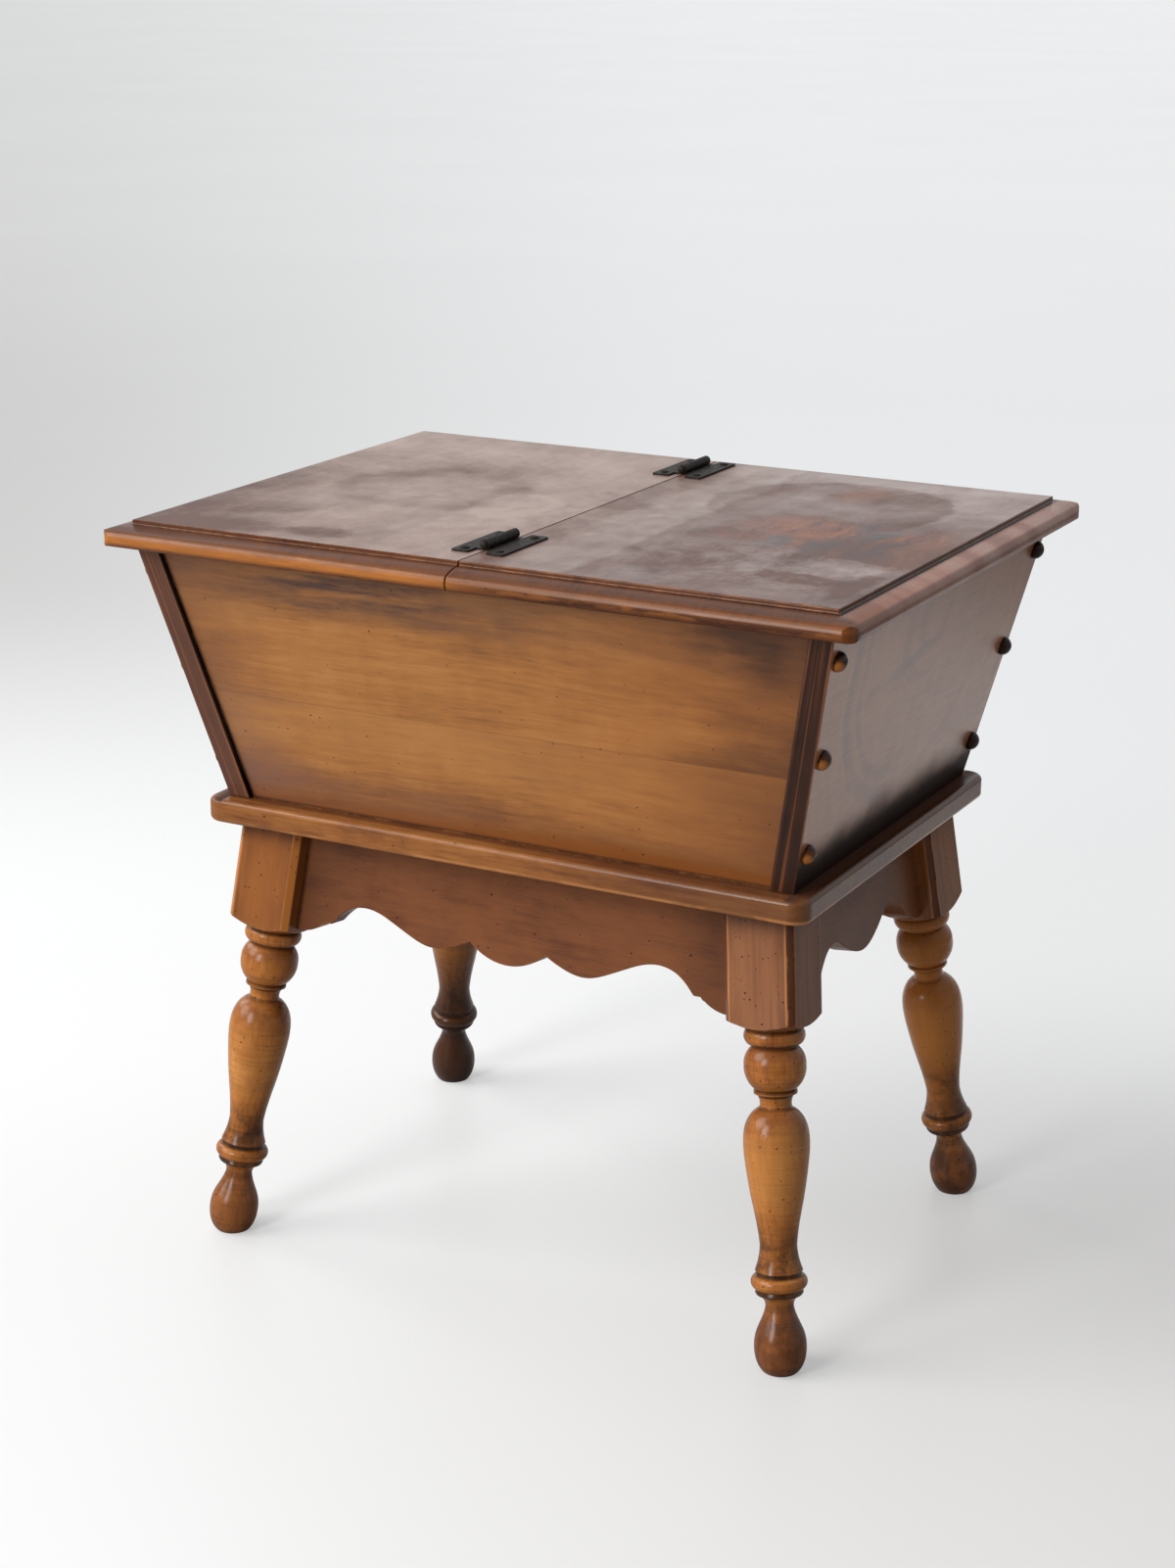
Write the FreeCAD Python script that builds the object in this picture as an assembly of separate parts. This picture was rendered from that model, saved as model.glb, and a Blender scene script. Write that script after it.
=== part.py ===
import FreeCAD, Part
import math
import os
from FreeCAD import Matrix, Placement, Rotation, Vector

# A sugar chest: a slope-sided lidded box on a low turned-leg stand.
# Millimetres. +X is along the length, the front faces -Y, +Z is up.
# The origin is on the floor under the middle of the chest.

# Lid, moulded on all four sides and cut in two across its width.
lid_length = 688.0
lid_width = 512.0
lid_height = 659.0
lid_thickness = 20.6
lid_overhang_x = 24.0
lid_overhang_y = 21.4
moulding_run = 21.5
nose_corner_radius = 16.0
seam_offset = 4.3
seam_gap = 1.0

# Box: four boards that slope outwards to the top.
box_splay_x = 50.8
box_splay_y = 51.4
board_thickness = 20.6
panel_recess = 5.0

# Platform board under the box.
platform_top_height = 410.0
platform_margin = 16.8
platform_thickness = 20.8
platform_corner_radius = 16.0
platform_edge_radius = 4.5

# Legs: where each axis meets the platform, its splay to the floor, and the square post.
leg_inset_x = 53.3
leg_inset_y = 56.3
leg_splay_x = 42.5
leg_splay_y = 53.7
post_width = 62.0
post_chamfer = 4.75
vase_radius = 27.4

# Scalloped aprons with tenons into the posts.
apron_thickness = 20.6
apron_recess = 17.5
apron_depth = 98.5
tenon_thickness = 9.5
tenon_length = 18.0
tenon_top_shoulder = 12.0
tenon_bottom_shoulder = 20.0
mortise_slack = 1.0

# Surface hinges on the seam.
front_hinge_inset = 88.0
rear_hinge_inset = 69.0
leaf_thickness = 1.6
leaf_corner_radius = 2.0
leaf_bar_length = 76.0
leaf_bar_width = 16.0
leaf_bar_inset = 8.0
barrel_length = 50.0
barrel_radius = 4.3
barrel_clearance = 0.35
knuckle_gap = 0.3
pin_radius = 2.0
pin_fit = 0.05
pin_head_radius = 3.5
pin_head_length = 3.2
hinge_screw_spacing = 57.0
hinge_screw_radius = 1.8
hinge_screw_length = 15.0
hinge_screw_head_radius = 3.8
hinge_screw_head_height = 1.9

# Button plugs over the screws of the end boards.
button_radius = 8.2
button_height = 8.0
button_inset = 12.7
button_top_drop = 24.4
button_bottom_rise = 34.0
plug_radius = 4.8
plug_length = 6.0
counterbore_depth = 9.0
wood_screw_radius = 2.1
wood_screw_head_radius = 4.2
wood_screw_head_height = 2.6
end_screw_length = 36.0

# Screws up through the platform, and their recess below.
platform_screw_length = 40.0
platform_screw_recess = 4.0
platform_screw_pitch_x = 170.0
platform_screw_pitch_y = 90.0

# Corner braces inside the stand.
brace_thickness = 20.6
brace_height = 38.0
brace_screw_pitch = 40.0
brace_screw_length = 51.0
bolt_radius = 3.0
bolt_length = 44.0
bolt_head_radius = 5.8
bolt_head_height = 4.2

# Blocks that hold the fixed half of the lid to the box.
block_height = 19.0
block_depth = 19.0
block_seam_distance = 60.0
block_corner_distance_front = 65.1
block_corner_distance_side = 89.0
block_screw_inset = 30.0
block_screw_stagger = 18.0
block_lid_screw_length = 31.0
block_board_screw_length = 30.0

hole_fit = 0.05
overrun = 5.0

# Moulded edge of the lid: outward share of the run, drop share of the thickness.
crown_shares = ((0.0, 0.185), (0.50, 0.255), (0.87, 0.400))
nose_shares = ((0.87, 0.400), (1.0, 0.650), (0.95, 0.905))
under_shares = ((0.95, 0.905), (0.915, 0.975), (0.84, 1.0))

# Turned leg: pieces of its outline, each point a share of the leg's length
# from the platform and a share of the vase's radius.
shoulder_share = 0.2595
cone_end_shares = (0.2695, 0.83)
turning_shares = (
    ((0.2695, 0.83), (0.2850, 0.925), (0.3015, 0.81)),
    ((0.3015, 0.81), (0.3030, 0.685)),
    ((0.3030, 0.685), (0.3070, 0.680)),
    ((0.3070, 0.680), (0.3225, 0.860), (0.3480, 0.935)),
    ((0.3480, 0.935), (0.3790, 0.840), (0.3985, 0.610)),
    ((0.3985, 0.610), (0.4005, 0.657)),
    ((0.4005, 0.657), (0.4065, 0.657)),
    ((0.4065, 0.657), (0.4085, 0.570)),
    ((0.4085, 0.570), (0.4210, 0.488), (0.4370, 0.495)),
    ((0.4370, 0.495), (0.4480, 0.720), (0.4670, 0.895), (0.5100, 1.0),
     (0.5650, 0.935), (0.6190, 0.820), (0.6740, 0.670), (0.7300, 0.562)),
    ((0.7300, 0.562), (0.7580, 0.612), (0.7830, 0.723)),
    ((0.7830, 0.723), (0.7850, 0.690)),
    ((0.7850, 0.690), (0.7920, 0.690)),
    ((0.7920, 0.690), (0.8050, 0.856), (0.8210, 0.750)),
    ((0.8210, 0.750), (0.8230, 0.700)),
    ((0.8230, 0.700), (0.8300, 0.733)),
    ((0.8300, 0.733), (0.8340, 0.700)),
    ((0.8340, 0.700), (0.8420, 0.520), (0.8610, 0.430)),
    ((0.8610, 0.430), (0.8940, 0.592), (0.9210, 0.750), (0.9490, 0.797),
     (0.9740, 0.750), (0.9940, 0.620), (1.0080, 0.380)),
)

# Scalloped lower edge of one half of each apron: share of the half span at
# the platform, and share of the apron's depth.
front_scallop_shares = (
    ((0.0, 0.954), (0.087, 0.922), (0.183, 0.802)),
    ((0.183, 0.802), (0.273, 0.889), (0.377, 0.925), (0.476, 0.862),
     (0.565, 0.776), (0.655, 0.704), (0.704, 0.692), (0.754, 0.706),
     (0.793, 0.740), (0.828, 0.794), (0.873, 0.893)),
    ((0.873, 0.893), (0.905, 0.893)),
    ((0.905, 0.893), (0.913, 0.914), (0.923, 0.922)),
    ((0.923, 0.922), (0.969, 0.975), (1.049, 1.0)),
)
side_scallop_shares = (
    ((0.0, 0.895), (0.133, 0.869), (0.248, 0.812), (0.328, 0.761),
     (0.400, 0.706), (0.470, 0.666), (0.542, 0.652), (0.613, 0.662),
     (0.675, 0.693), (0.728, 0.740), (0.781, 0.800), (0.820, 0.893)),
    ((0.820, 0.893), (0.881, 0.893)),
    ((0.881, 0.893), (0.890, 0.914), (0.900, 0.922)),
    ((0.900, 0.922), (0.966, 0.975), (1.063, 1.0)),
)

# Sizes that follow from those above.
lid_underside = lid_height - lid_thickness
seam_x = -seam_offset
box_top_length = lid_length - 2 * lid_overhang_x
box_top_width = lid_width - 2 * lid_overhang_y
box_bottom_length = box_top_length - 2 * box_splay_x
box_bottom_width = box_top_width - 2 * box_splay_y
box_height = lid_underside - platform_top_height
box_slope_x = box_splay_x / box_height
box_slope_y = box_splay_y / box_height
platform_length = box_bottom_length + 2 * platform_margin
platform_width = box_bottom_width + 2 * platform_margin
platform_underside = platform_top_height - platform_thickness
end_board_run = board_thickness * math.hypot(1, box_slope_x)
long_board_run = board_thickness * math.hypot(1, box_slope_y)
block_right = seam_x - block_seam_distance
block_left = end_board_run + block_corner_distance_front - box_top_length / 2
block_length_side = box_top_width - 2 * (panel_recess + long_board_run + block_corner_distance_side)
leg_top_x = platform_length / 2 - leg_inset_x
leg_top_y = platform_width / 2 - leg_inset_y
leg_slope_x = leg_splay_x / platform_underside
leg_slope_y = leg_splay_y / platform_underside
leg_length = platform_underside * math.hypot(1, leg_slope_x, leg_slope_y)
half_post = post_width / 2
span_x = leg_top_x - half_post
span_y = leg_top_y - half_post
apron_face_y = leg_top_y + (half_post - apron_recess) * math.hypot(1, leg_slope_y)
apron_face_x = leg_top_x + (half_post - apron_recess) * math.hypot(1, leg_slope_x)
pin_height = barrel_radius + barrel_clearance
pin_z = lid_height + pin_height
front_hinge_y = front_hinge_inset - lid_width / 2
rear_hinge_y = lid_width / 2 - rear_hinge_inset


def vec(x, y, z):
    return Vector(x, y, z)


def box_between(low, high):
    """A box from its lowest to its highest corner."""
    size = high.sub(low)
    return Part.makeBox(size.x, size.y, size.z, low)


def solid_from_rings(bottom, top):
    """A closed solid with flat sides between two rings of as many corners."""
    count = len(bottom)
    faces = [Part.Face(Part.makePolygon(ring + ring[:1])) for ring in (bottom, top)]
    for i in range(count):
        j = (i + 1) % count
        corners = [bottom[i], bottom[j], top[j], top[i], bottom[i]]
        faces.append(Part.Face(Part.makePolygon(corners)))
    solid = Part.Solid(Part.Shell(faces))
    if solid.Volume < 0:
        solid.reverse()
    return solid


def rectangle(x_low, x_high, y_low, y_high, z):
    return [vec(x_low, y_low, z), vec(x_high, y_low, z), vec(x_high, y_high, z), vec(x_low, y_high, z)]


def edges_of(pieces, place):
    """Edges of an outline: a line, an arc or a spline for each piece of its table."""
    edges = []
    for piece in pieces:
        points = [place(point) for point in piece]
        if len(points) == 2:
            edges.append(Part.makeLine(points[0], points[1]))
        elif len(points) == 3:
            edges.append(Part.Arc(points[0], points[1], points[2]).toShape())
        else:
            curve = Part.BSplineCurve()
            curve.interpolate(points)
            edges.append(curve.toShape())
    return edges


def closed_face(edges, corners):
    """A face bounded by edges and by straight lines through the corners back to their start."""
    path = [edges[-1].Vertexes[-1].Point] + corners + [edges[0].Vertexes[0].Point]
    sides = [Part.makeLine(a, b) for a, b in zip(path, path[1:]) if a.distanceToPoint(b) > 0]
    return Part.Face(Part.Wire(edges + sides))


def rod(radius, length, base, direction):
    return Part.makeCylinder(radius, length, base, direction)


def group(solids):
    return Part.makeCompound(solids)


def mirror_x(shape):
    return shape.mirror(vec(0, 0, 0), vec(1, 0, 0))


def mirror_y(shape):
    return shape.mirror(vec(0, 0, 0), vec(0, 1, 0))


def screw(base, direction, radius, length, head_radius, head_height, rounded=False):
    """A screw whose head sits on base and whose shank runs along direction."""
    shank = rod(radius, length, base, direction)
    back = direction.negative()
    head = rod(head_radius, head_height, base, back)
    if rounded:
        rim = head_height / 3
        crown = head_height - rim
        ball = (head_radius ** 2 + crown ** 2) / (2 * crown)
        centre = base + back * (head_height - ball)
        head = head.common(Part.makeSphere(ball, centre))
    return head.fuse(shank).removeSplitter()


def wood_screw(base, direction, length):
    return screw(base, direction, wood_screw_radius, length, wood_screw_head_radius, wood_screw_head_height)


def lid_slab(half_length, along_x):
    """The moulded section at both ends, drawn across the lid, as wide as needed."""
    field = half_length - moulding_run
    reach = max(lid_length, lid_width) / 2 + overrun

    def right(point):
        out, drop = point
        return (field + out * moulding_run, lid_height - drop * lid_thickness)

    def place(sign):
        def to_space(point):
            u, z = right(point)
            return vec(sign * u, -reach, z) if along_x else vec(-reach, sign * u, z)
        return to_space

    pieces = (crown_shares, nose_shares, under_shares)
    near = edges_of(pieces, place(1))
    far = edges_of(pieces, place(-1))
    step_near = place(1)((0.0, 0.0))
    step_far = place(-1)((0.0, 0.0))
    lines = [
        Part.makeLine(near[-1].Vertexes[-1].Point, far[-1].Vertexes[-1].Point),
        Part.makeLine(far[0].Vertexes[0].Point, step_far),
        Part.makeLine(step_far, step_near),
        Part.makeLine(step_near, near[0].Vertexes[0].Point),
    ]
    ordered = Part.sortEdges(near + far + lines)[0]
    face = Part.Face(Part.Wire(ordered))
    travel = vec(0, 2 * reach, 0) if along_x else vec(2 * reach, 0, 0)
    return face.extrude(travel)


def rounded_block(length, width, low, high, radius):
    """A block about the Z axis with its upright corners rounded."""
    block = box_between(vec(-length / 2, -width / 2, low), vec(length / 2, width / 2, high))
    upright = [e for e in block.Edges if abs(e.Vertexes[0].Z - e.Vertexes[-1].Z) > 0]
    return block.makeFillet(radius, upright)


def whole_lid():
    lid = lid_slab(lid_length / 2, True).common(lid_slab(lid_width / 2, False))
    low, high = lid_underside - overrun, lid_height + overrun
    return lid.common(rounded_block(lid_length, lid_width, low, high, nose_corner_radius))


def lid_half(side):
    """side is 1 for the hinged half on the right and -1 for the fixed half."""
    edge = seam_x + side * seam_gap / 2
    far = side * (lid_length / 2 + overrun)
    half_y = lid_width / 2 + overrun
    low = vec(min(edge, far), -half_y, lid_underside - overrun)
    high = vec(max(edge, far), half_y, lid_height + overrun)
    return whole_lid().common(box_between(low, high))


def box_half(z, bottom, slope):
    return bottom / 2 + (z - platform_top_height) * slope


def end_board():
    """The right end board. It runs past the front and rear boards."""
    rings = []
    for z in (platform_top_height, lid_underside):
        x = box_half(z, box_bottom_length, box_slope_x)
        y = box_half(z, box_bottom_width, box_slope_y)
        rings.append(rectangle(x - end_board_run, x, -y, y, z))
    return solid_from_rings(rings[0], rings[1])


def front_board():
    rings = []
    for z in (platform_top_height, lid_underside):
        x = box_half(z, box_bottom_length, box_slope_x) - end_board_run
        y = box_half(z, box_bottom_width, box_slope_y) - panel_recess
        rings.append(rectangle(-x, x, -y, long_board_run - y, z))
    return solid_from_rings(rings[0], rings[1])


def well():
    """The space inside the four boards."""
    rings = []
    for z in (platform_top_height, lid_underside):
        x = box_half(z, box_bottom_length, box_slope_x) - end_board_run
        y = box_half(z, box_bottom_width, box_slope_y) - panel_recess - long_board_run
        rings.append(rectangle(-x, x, -y, y, z))
    return solid_from_rings(rings[0], rings[1])


def end_normal():
    """Outward normal of the right end board."""
    return vec(1, 0, -box_slope_x).normalize()


def button_places():
    """Centres of the buttons on the right end board's outer face."""
    high = lid_underside - button_top_drop
    low = platform_top_height + button_bottom_rise
    places = []
    for z in (low, (low + high) / 2, high):
        x = box_half(z, box_bottom_length, box_slope_x)
        y = box_half(z, box_bottom_width, box_slope_y) - button_inset
        places.extend([vec(x, -y, z), vec(x, y, z)])
    return places


def button(place):
    """A mushroom plug, turned in one piece: a domed head on the board and a short round tenon."""
    rim = button_height / 4
    crown = button_height - rim
    ball = (button_radius ** 2 + crown ** 2) / (2 * crown)
    turn = math.asin(button_radius / ball) / 2
    top = vec(0, 0, button_height)
    halfway = vec(ball * math.sin(turn), 0, button_height - ball * (1 - math.cos(turn)))
    shoulder = vec(button_radius, 0, rim)
    outline = [
        vec(0, 0, -plug_length),
        vec(plug_radius, 0, -plug_length),
        vec(plug_radius, 0, 0),
        vec(button_radius, 0, 0),
        shoulder,
    ]
    edges = [Part.makeLine(start, end) for start, end in zip(outline, outline[1:])]
    edges.append(Part.Arc(shoulder, halfway, top).toShape())
    edges.append(Part.makeLine(top, outline[0]))
    head = Part.Face(Part.Wire(edges)).revolve(vec(0, 0, 0), vec(0, 0, 1), 360)
    head.Placement = Placement(place, Rotation(vec(0, 0, 1), end_normal()))
    return head


def end_screw(place):
    into = end_normal().negative()
    seat = place + into * counterbore_depth
    return wood_screw(seat, into, end_screw_length)


def end_screw_room(place):
    """The counterbore and the shank's hole, cut from the boards."""
    out = end_normal()
    into = out.negative()
    seat = place + into * counterbore_depth
    bore = rod(plug_radius + hole_fit, counterbore_depth + overrun, seat, out)
    return bore.fuse(screw_hole(seat, into, wood_screw_radius, end_screw_length))


def screw_hole(base, direction, radius, length):
    """A hole for a shank, a little wider and deeper than the shank."""
    back = base - direction * overrun
    return rod(radius + hole_fit, length + overrun + hole_fit, back, direction)


def platform():
    board = rounded_block(
        platform_length, platform_width, platform_underside, platform_top_height, platform_corner_radius
    )
    rims = []
    for edge in board.Edges:
        level = abs(edge.Vertexes[0].Z - edge.Vertexes[-1].Z) < hole_fit
        if level:
            rims.append(edge)
    return board.makeFillet(platform_edge_radius, rims)


def platform_screw_places():
    """Seats of the screws that hold the box, on the floor of their recesses."""
    z = platform_underside + platform_screw_recess
    y = box_bottom_width / 2 - panel_recess - long_board_run / 2
    x = box_bottom_length / 2 - end_board_run / 2
    places = []
    for side in (-1, 1):
        for step in (-1, 0, 1):
            places.append(vec(step * platform_screw_pitch_x, side * y, z))
        for step in (-1, 1):
            places.append(vec(side * x, step * platform_screw_pitch_y, z))
    return places


def platform_screw(place):
    return wood_screw(place, vec(0, 0, 1), platform_screw_length)


def platform_screw_room(place):
    up = vec(0, 0, 1)
    recess = rod(wood_screw_head_radius + hole_fit, platform_screw_recess + overrun, place, up.negative())
    return recess.fuse(screw_hole(place, up, wood_screw_radius, platform_screw_length))


def leg_placement():
    """Frame of the front right leg: local Z runs up its axis from the platform."""
    up = vec(-leg_slope_x, leg_slope_y, 1).normalize()
    back = vec(0, 1, -leg_slope_y).normalize()
    side = back.cross(up)
    matrix = Matrix(
        side.x, back.x, up.x, leg_top_x,
        side.y, back.y, up.y, -leg_top_y,
        side.z, back.z, up.z, platform_underside,
        0, 0, 0, 1,
    )
    return Placement(matrix)


def post_blank(below):
    """The square post, chamfered along its corners, from above the platform to a depth below it."""
    low = vec(-half_post, -half_post, -below)
    high = vec(half_post, half_post, post_width)
    block = box_between(low, high)
    upright = [e for e in block.Edges if abs(e.Vertexes[0].Z - e.Vertexes[-1].Z) > 0]
    return block.makeChamfer(post_chamfer, upright)


def turned_part():
    """The lathe work below the post, about the local Z axis."""
    def place(point):
        down, out = point
        return vec(out * vase_radius, 0, -down * leg_length)

    edges = edges_of(turning_shares, place)
    top = vec(0, 0, edges[0].Vertexes[0].Z)
    bottom = vec(0, 0, edges[-1].Vertexes[-1].Z)
    face = closed_face(edges, [bottom, top])
    return face.revolve(vec(0, 0, 0), vec(0, 0, 1), 360)


def post_shoulder():
    """The turned end of the post: a cone that cuts its corners away."""
    down, out = cone_end_shares
    end_z = -down * leg_length
    face_z = -shoulder_share * leg_length
    end_radius = out * vase_radius
    steep = (end_z - face_z) / (end_radius - half_post)
    wide = post_width
    wide_z = face_z + (wide - half_post) * steep
    cone = Part.makeCone(end_radius, wide, wide_z - end_z, vec(0, 0, end_z))
    above = rod(wide, post_width - wide_z, vec(0, 0, wide_z), vec(0, 0, 1))
    return cone.fuse(above)


def below_platform():
    """All the space under the platform and above the floor."""
    half_x = lid_length / 2
    half_y = lid_width / 2
    return box_between(vec(-half_x, -half_y, 0), vec(half_x, half_y, platform_underside))


def front_right_leg():
    down = cone_end_shares[0] * leg_length
    post = post_blank(down).common(post_shoulder())
    leg = post.fuse(turned_part()).removeSplitter()
    leg.Placement = leg_placement()
    leg = leg.common(below_platform())
    for room in (front_tenons(mortise_slack), right_tenons(mortise_slack)):
        leg = leg.cut(room)
    return leg.cut(bolt_room())


def post_space():
    """The square of the front right post, used to end the aprons and braces."""
    space = post_blank(cone_end_shares[0] * leg_length + overrun)
    space.Placement = leg_placement()
    return space


def front_frame():
    """Frame of the front apron: local X along it, Y inwards, Z up its face."""
    lean = math.degrees(math.atan(leg_slope_y))
    return Placement(vec(0, -apron_face_y, platform_underside), Rotation(vec(1, 0, 0), -lean))


def right_frame():
    lean = math.degrees(math.atan(leg_slope_x))
    turn = Rotation(vec(0, 1, 0), -lean).multiply(Rotation(vec(0, 0, 1), 90))
    return Placement(vec(apron_face_x, 0, platform_underside), turn)


def apron_blank(table, span, frame):
    """The scalloped board, as long as the distance between the posts' axes."""
    def place(sign):
        def to_face(point):
            along, down = point
            return vec(sign * along * span, 0, -down * apron_depth)
        return to_face

    right = edges_of(table, place(1))
    left = edges_of(table, place(-1))
    end = right[-1].Vertexes[-1].Point
    far = span + half_post
    corners = [vec(far, 0, end.z), vec(far, 0, overrun), vec(-far, 0, overrun), vec(-far, 0, end.z)]
    start = left[-1].Vertexes[-1].Point
    path = [end] + corners + [start]
    lines = [Part.makeLine(a, b) for a, b in zip(path, path[1:])]
    ordered = Part.sortEdges(right + left + lines)[0]
    board = Part.Face(Part.Wire(ordered)).extrude(vec(0, apron_thickness, 0))
    board.Placement = frame
    return board.common(below_platform())


def tenon_slab(span, frame, slack):
    """Both tenons of an apron as one slab through it."""
    half = span + tenon_length + slack
    front = (apron_thickness - tenon_thickness) / 2
    low = vec(-half, front, tenon_bottom_shoulder - apron_depth)
    high = vec(half, front + tenon_thickness, -tenon_top_shoulder)
    slab = box_between(low, high)
    slab.Placement = frame
    return slab


def front_tenons(slack):
    return tenon_slab(span_x, front_frame(), slack)


def right_tenons(slack):
    return tenon_slab(span_y, right_frame(), slack)


def front_apron():
    board = apron_blank(front_scallop_shares, span_x, front_frame())
    post = post_space()
    board = board.cut(post).cut(mirror_x(post))
    tenons = front_tenons(0).common(post.fuse(mirror_x(post)))
    return board.fuse(tenons).removeSplitter()


def right_apron():
    board = apron_blank(side_scallop_shares, span_y, right_frame())
    post = post_space()
    board = board.cut(post).cut(mirror_y(post))
    tenons = right_tenons(0).common(post.fuse(mirror_y(post)))
    return board.fuse(tenons).removeSplitter()


def stand_inside():
    """The space inside the four aprons, down to the braces' lower faces."""
    inner_y = apron_face_y - apron_thickness * math.hypot(1, leg_slope_y)
    inner_x = apron_face_x - apron_thickness * math.hypot(1, leg_slope_x)
    rings = []
    for drop in (brace_height, 0):
        x = inner_x + drop * leg_slope_x
        y = inner_y + drop * leg_slope_y
        rings.append(rectangle(-x, x, -y, y, platform_underside - drop))
    return solid_from_rings(rings[0], rings[1])


def brace_frame():
    """Frame of the front right brace: local X along it, Y outwards to the post."""
    inner = half_post - post_chamfer / 2
    place = vec(leg_top_x - inner, inner - leg_top_y, platform_underside)
    return Placement(place, Rotation(vec(0, 0, 1), -135))


def front_right_brace():
    reach = post_width * 2
    blank = box_between(vec(-reach, -brace_thickness, -brace_height), vec(reach, half_post, 0))
    blank.Placement = brace_frame()
    brace = blank.common(stand_inside()).cut(post_space())
    for place in brace_screw_places():
        brace = brace.cut(screw_hole(place, vec(0, 0, 1), wood_screw_radius, brace_screw_length))
    return brace.cut(bolt_room())


def brace_screw_places():
    """Heads of the upright screws, under the brace's lower face."""
    frame = brace_frame()
    y = -brace_thickness / 2
    return [frame.multVec(vec(side * brace_screw_pitch / 2, y, -brace_height)) for side in (-1, 1)]


def brace_screw(place):
    return wood_screw(place, vec(0, 0, 1), brace_screw_length)


def bolt_line():
    """Seat and direction of the bolt through the front right brace into its post."""
    frame = brace_frame()
    seat = frame.multVec(vec(0, -brace_thickness, -brace_height / 2))
    return seat, frame.Rotation.multVec(vec(0, 1, 0))


def brace_bolt():
    seat, into = bolt_line()
    corners = []
    for i in range(6):
        angle = math.radians(60 * i)
        corners.append(vec(bolt_head_radius * math.cos(angle), bolt_head_radius * math.sin(angle), 0))
    hexagon = Part.Face(Part.makePolygon(corners + corners[:1]))
    head = hexagon.extrude(vec(0, 0, bolt_head_height))
    head.Placement = Placement(seat, Rotation(vec(0, 0, 1), into.negative()))
    return head.fuse(rod(bolt_radius, bolt_length, seat, into)).removeSplitter()


def bolt_room():
    seat, into = bolt_line()
    return screw_hole(seat, into, bolt_radius, bolt_length)


def lid_blocks():
    """Blocks under the fixed half: along the front board and along the left end board."""
    low = lid_underside - block_height
    inside = well()
    top_x = box_top_length / 2 - end_board_run
    top_y = box_top_width / 2 - panel_recess - long_board_run
    drop_x = block_height * box_slope_x
    drop_y = block_height * box_slope_y
    front = box_between(
        vec(block_left, -top_y, low),
        vec(block_right, drop_y + block_depth - top_y, lid_underside),
    )
    side = box_between(
        vec(-top_x, -block_length_side / 2, low),
        vec(drop_x + block_depth - top_x, block_length_side / 2, lid_underside),
    )
    return front.common(inside), side.common(inside)


def block_screws():
    """Screws of the front block and of the left block, each up to the lid and out to the board."""
    up = vec(0, 0, 1)
    low = lid_underside - block_height
    drop_x = block_height * box_slope_x
    drop_y = block_height * box_slope_y
    top_x = box_top_length / 2 - end_board_run
    top_y = box_top_width / 2 - panel_recess - long_board_run
    middle_z = lid_underside - block_height / 2
    face_y = drop_y + block_depth - top_y
    face_x = drop_x + block_depth - top_x
    front = []
    for end, inward in ((block_left, 1), (block_right, -1)):
        x = end + inward * block_screw_inset
        away = inward * block_screw_stagger
        front.append((vec(x, face_y - block_depth / 2, low), up, block_lid_screw_length))
        front.append((vec(x + away, face_y, middle_z), vec(0, -1, 0), block_board_screw_length))
    side = []
    for end in (-1, 1):
        y = end * (block_length_side / 2 - block_screw_inset)
        away = -end * block_screw_stagger
        side.append((vec(face_x - block_depth / 2, y, low), up, block_lid_screw_length))
        side.append((vec(face_x, y + away, middle_z), vec(-1, 0, 0), block_board_screw_length))
    return front, side


def make_block_screw(entry):
    place, direction, length = entry
    return wood_screw(place, direction, length)


def block_screw_hole(entry):
    place, direction, length = entry
    return screw_hole(place, direction, wood_screw_radius, length)


def knuckle_spans():
    """Five knuckles along the barrel, as pairs of ends from its middle."""
    count = 5
    pitch = (barrel_length + knuckle_gap) / count
    start = -barrel_length / 2
    return [(start + i * pitch, start + i * pitch + pitch - knuckle_gap) for i in range(count)]


def leaf(side, hinge_y):
    """A hinge leaf: side is -1 for the fixed leaf and 1 for the moving one."""
    z = -pin_height
    bar = box_between(
        vec(leaf_bar_inset, -leaf_bar_length / 2, z),
        vec(leaf_bar_inset + leaf_bar_width, leaf_bar_length / 2, z + leaf_thickness),
    )
    upright = [e for e in bar.Edges if abs(e.Vertexes[0].Z - e.Vertexes[-1].Z) > 0]
    bar = bar.makeFillet(leaf_corner_radius, upright)
    tab_edge = barrel_radius + barrel_clearance
    tab = box_between(
        vec(tab_edge, -barrel_length / 2, z),
        vec(leaf_bar_inset + leaf_corner_radius, barrel_length / 2, z + leaf_thickness),
    )
    shape = bar.fuse(tab)
    first = 0 if side < 0 else 1
    for low, high in knuckle_spans()[first::2]:
        finger = box_between(vec(0, low, z), vec(tab_edge, high, z + leaf_thickness))
        knuckle = rod(barrel_radius, high - low, vec(0, low, 0), vec(0, 1, 0))
        shape = shape.fuse(finger).fuse(knuckle)
    bore_start = vec(0, -barrel_length / 2 - overrun, 0)
    bore = rod(pin_radius + pin_fit, barrel_length + 2 * overrun, bore_start, vec(0, 1, 0))
    shape = shape.cut(bore)
    if side < 0:
        shape = mirror_x(shape)
    shape = shape.removeSplitter()
    shape.translate(vec(seam_x, hinge_y, pin_z))
    for place in leaf_screw_places(side, hinge_y):
        shape = shape.cut(hinge_screw_hole(place))
    return shape


def leaf_screw_places(side, hinge_y):
    """Seats of a leaf's two screws on its upper face."""
    x = seam_x + side * (leaf_bar_inset + leaf_bar_width / 2)
    z = lid_height + leaf_thickness
    half = hinge_screw_spacing / 2
    return [vec(x, hinge_y - half, z), vec(x, hinge_y + half, z)]


def hinge_screw(place):
    radius, height = hinge_screw_head_radius, hinge_screw_head_height
    return screw(place, vec(0, 0, -1), hinge_screw_radius, hinge_screw_length, radius, height, True)


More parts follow.
